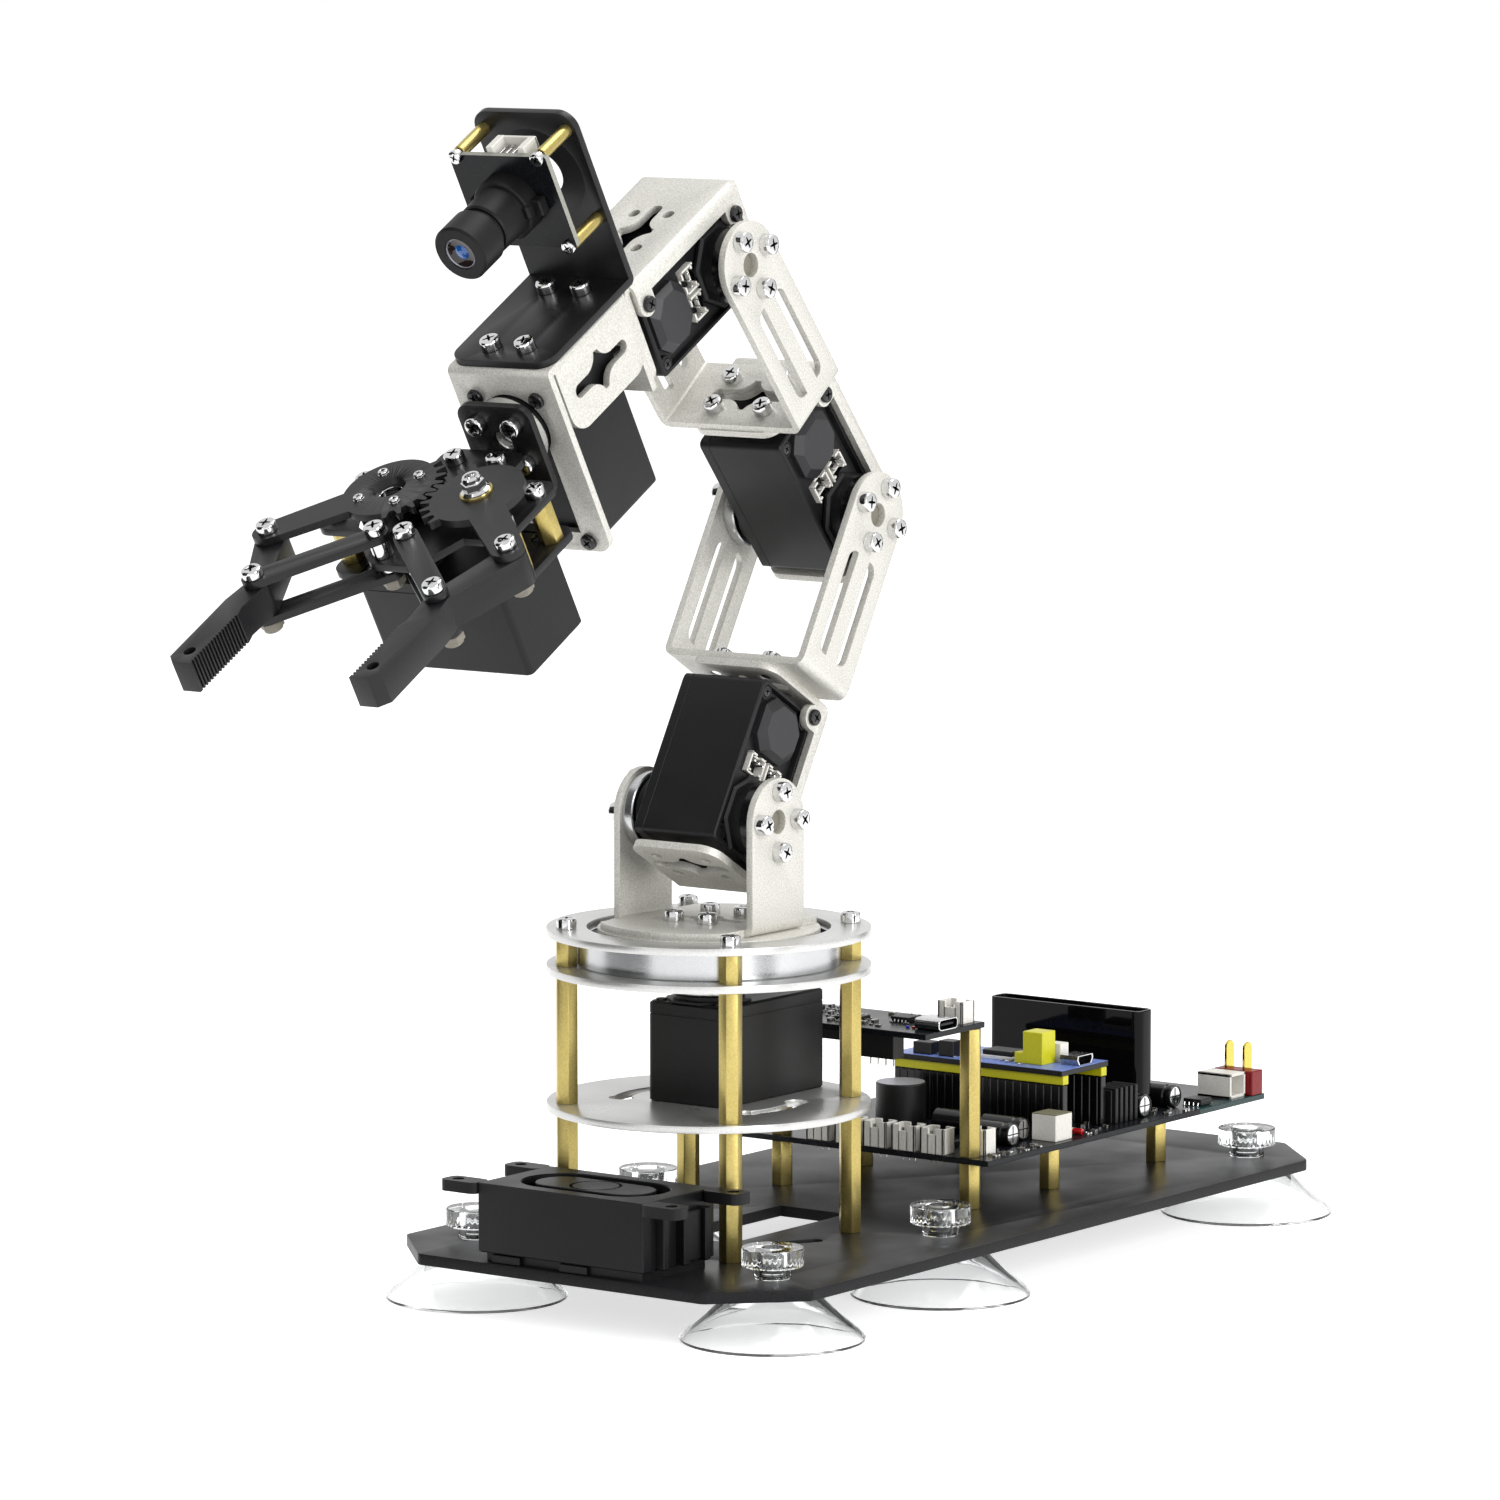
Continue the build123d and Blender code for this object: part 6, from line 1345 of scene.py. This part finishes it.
class ARM_OT_board_parts(bpy.types.Operator):
    """Capacitors, heat sink, terminal, power connector and the glossy module"""

    bl_idname = "robot_arm.board_parts"
    bl_label = "Large board parts"

    def execute(self, context):
        self.add_capacitors()
        self.add_chips()
        self.add_power_connector()
        self.add_module()
        return {"FINISHED"}

    def add_capacitors(self):
        """Lying cans: black sleeve, pale end with a pressed cross drawn as thin strips of painted shade."""
        bm = bmesh.new()
        sleeve = [(0, 0), (2.9, 0), (3.2, 0.3), (3.2, 10.2), (2.95, 10.6), (2.95, 11.1), (3.2, 11.5), (3.2, 12.6),
                  (3.0, 13), (2.7, 13), (2.65, 12.8)]
        for x, y in ((23.8, 104), (8, 104), (26.5, 95), (29.5, 155.9), (27.5, 174.4)):
            can = axes(BASE, (x - 6.5, y, BOARD_TOP + 3.2), (0, 1, 0), (0, 0, 1), (1, 0, 0))
            add_lathe(bm, sleeve, can, 40, 0)
            add_lathe(bm, [(2.65, 12.8), (0, 12.82)], can, 40, 1)
            for size in ((4.6, 0.28, 0.1), (0.28, 4.6, 0.1)):
                add_brick(bm, (0, 0, 12.85), size, can, 0.02, 2)
        stand_in("capacitors", made(bm, "capacitors"), ["can_sleeve", "zinc", "recess"])

    def add_chips(self):
        """Standing can, white button with its lid, finned heat sink, chip and open terminal."""
        bm = bmesh.new()
        can = spot(BASE, -13, 107)
        add_lathe(bm, [(0, 30.1), (6.8, 30.1), (7, 30.4), (7, 41.6), (6.7, 42)], can, 64, 0)
        add_lathe(bm, [(6.7, 42), (0, 42.02)], can, 64, 1)
        add_bricks(bm, BASE, (
            ((35, 110.7, 33.75), (8, 8, 7.3), 0.2, 2),
            ((35, 110.7, 37.45), (7.9, 7.9, 0.3), 0.1, 5),
            ((32, 146.5, 34.8), (5.4, 11.6, 9.4), 0.2, 0),
        ))
        for step in range(5):
            add_brick(bm, (32, 141.6 + step * 2.45, 35.1), (8, 1.3, 10), BASE, 0.15, 0)
        add_chip(bm, 36, 182.7, BOARD_TOP, 6, 5.6, 1.8, 4, 3)
        for sign in (-1, 1):
            add_brick(bm, (33.5, 199 + sign * 3.6, 33.6), (11, 0.8, 7), BASE, 0.1, 2)
            add_brick(bm, (33.5, 199, 33.6 + sign * 3.1), (11, 8, 0.8), BASE, 0.1, 2)
        add_brick(bm, (28.6, 199, 33.6), (1.0, 7.6, 6.6), BASE, 0.1, 2)
        stand_in("board_chips", made(bm, "board_chips"), ["chip_black", "grey_metal", "white_nylon", "chip_black",
                                                          "zinc", "olive_cap"])

    def add_power_connector(self):
        """Red block with two gold blades, round at the top."""
        bm = bmesh.new()
        add_brick(bm, (34.5, 206.2, 33.6), (13, 5.6, 7), BASE, 0.25, 0)
        outline = [(x, y + (1.9 if y > 11.1 else -4.0)) for x, y in circle(2.0, 24, 0, 41.1 - 30)]
        for x in (31.5, 37.5):
            blade = axes(BASE, (x - 0.4, 206.2, 30), (0, 1, 0), (0, 0, 1), (1, 0, 0))
            add_prism(bm, outline, 0, 0.8, blade, 0.1, 1)
        stand_in("power_connector", made(bm, "power_connector"), ["red_nylon", "gold_plate"])

    def add_module(self):
        """Tall glossy shell with three slots of three contacts in its top."""
        bm = bmesh.new()
        place = spot(BASE, 5.5, 164)
        rings = []
        for inset, height in ((0.2, 30.1), (0, 30.3), (0, 58.5), (0.2, 58.7), (0.8, 58.7), (1.0, 58.4), (1.0, 57.9)):
            half, deep = 25.5 - inset, 4 - inset
            rings.append(loop(bm, rounded(-half, half, -deep, deep, 2.5 - inset, 6), height, place))
        bm.faces.new(rings[0])
        walls(bm, rings)
        slots = []
        for height in (57.9, 57.0):
            slots.append([loop(bm, [(x + middle, y) for x, y in slot_outline(13.6, 3.6, 6)], height, place)
                          for middle in (-15.4, 0, 15.4)])
        web(bm, [rings[-1]] + slots[0])
        # Slot floors take the second finish: painted shade.
        for top, bottom in zip(*slots):
            wall(bm, top, bottom)
            bm.faces.new(bottom).material_index = 1
        contact = [(1.25, 57.0), (1.25, 57.7), (0.9, 57.9), (0, 57.9)]
        for middle in (-15.4, 0, 15.4):
            for step in (-4.2, 0, 4.2):
                add_lathe(bm, contact, spot(place, middle + step, 0), 20, 2)
        stand_in("interface_module", made(bm, "module"), ["module_gloss", "recess", "black_gloss"])


class ARM_OT_rest(bpy.types.Operator):
    """Finishes for the nodes that keep their own shape"""

    bl_idname = "robot_arm.rest"
    bl_label = "Other nodes"

    def execute(self, context):
        for node, shown in frame["nodes"].items():
            if not shown.hide_render:
                shown.data.materials.clear()
                shown.data.materials.append(finished(NODE_FINISH[SLOT_OF[node]]))
        return {"FINISHED"}


class ARM_PT_panel(bpy.types.Panel):
    """Buttons for each group of pieces"""

    bl_idname = "ARM_PT_panel"
    bl_label = "Robot arm"
    bl_space_type = "VIEW_3D"
    bl_region_type = "UI"
    bl_category = "Robot arm"

    def draw(self, context):
        for settings in (context.scene.arm_stage, context.scene.arm_looks):
            for name in type(settings).__annotations__:
                self.layout.prop(settings, name)
        for operator in STEPS:
            self.layout.operator(operator.bl_idname)


STEPS = (
    ARM_OT_stage, ARM_OT_sheet_metal, ARM_OT_fasteners, ARM_OT_servos, ARM_OT_horns, ARM_OT_bearing,
    ARM_OT_cups, ARM_OT_camera, ARM_OT_gripper, ARM_OT_speaker, ARM_OT_boards, ARM_OT_board_parts, ARM_OT_rest,
)
CLASSES = (StageSettings, LooksSettings) + STEPS + (ARM_PT_panel,)


def register():
    for cls in CLASSES:
        bpy.utils.register_class(cls)
    bpy.types.Scene.arm_stage = bpy.props.PointerProperty(type=StageSettings)
    bpy.types.Scene.arm_looks = bpy.props.PointerProperty(type=LooksSettings)


def unregister():
    del bpy.types.Scene.arm_looks
    del bpy.types.Scene.arm_stage
    for cls in reversed(CLASSES):
        bpy.utils.unregister_class(cls)


def main():
    """Makes every piece."""
    register()
    for operator in STEPS:
        group, name = operator.bl_idname.split(".")
        getattr(getattr(bpy.ops, group), name)()


if __name__ == "__main__":
    main()
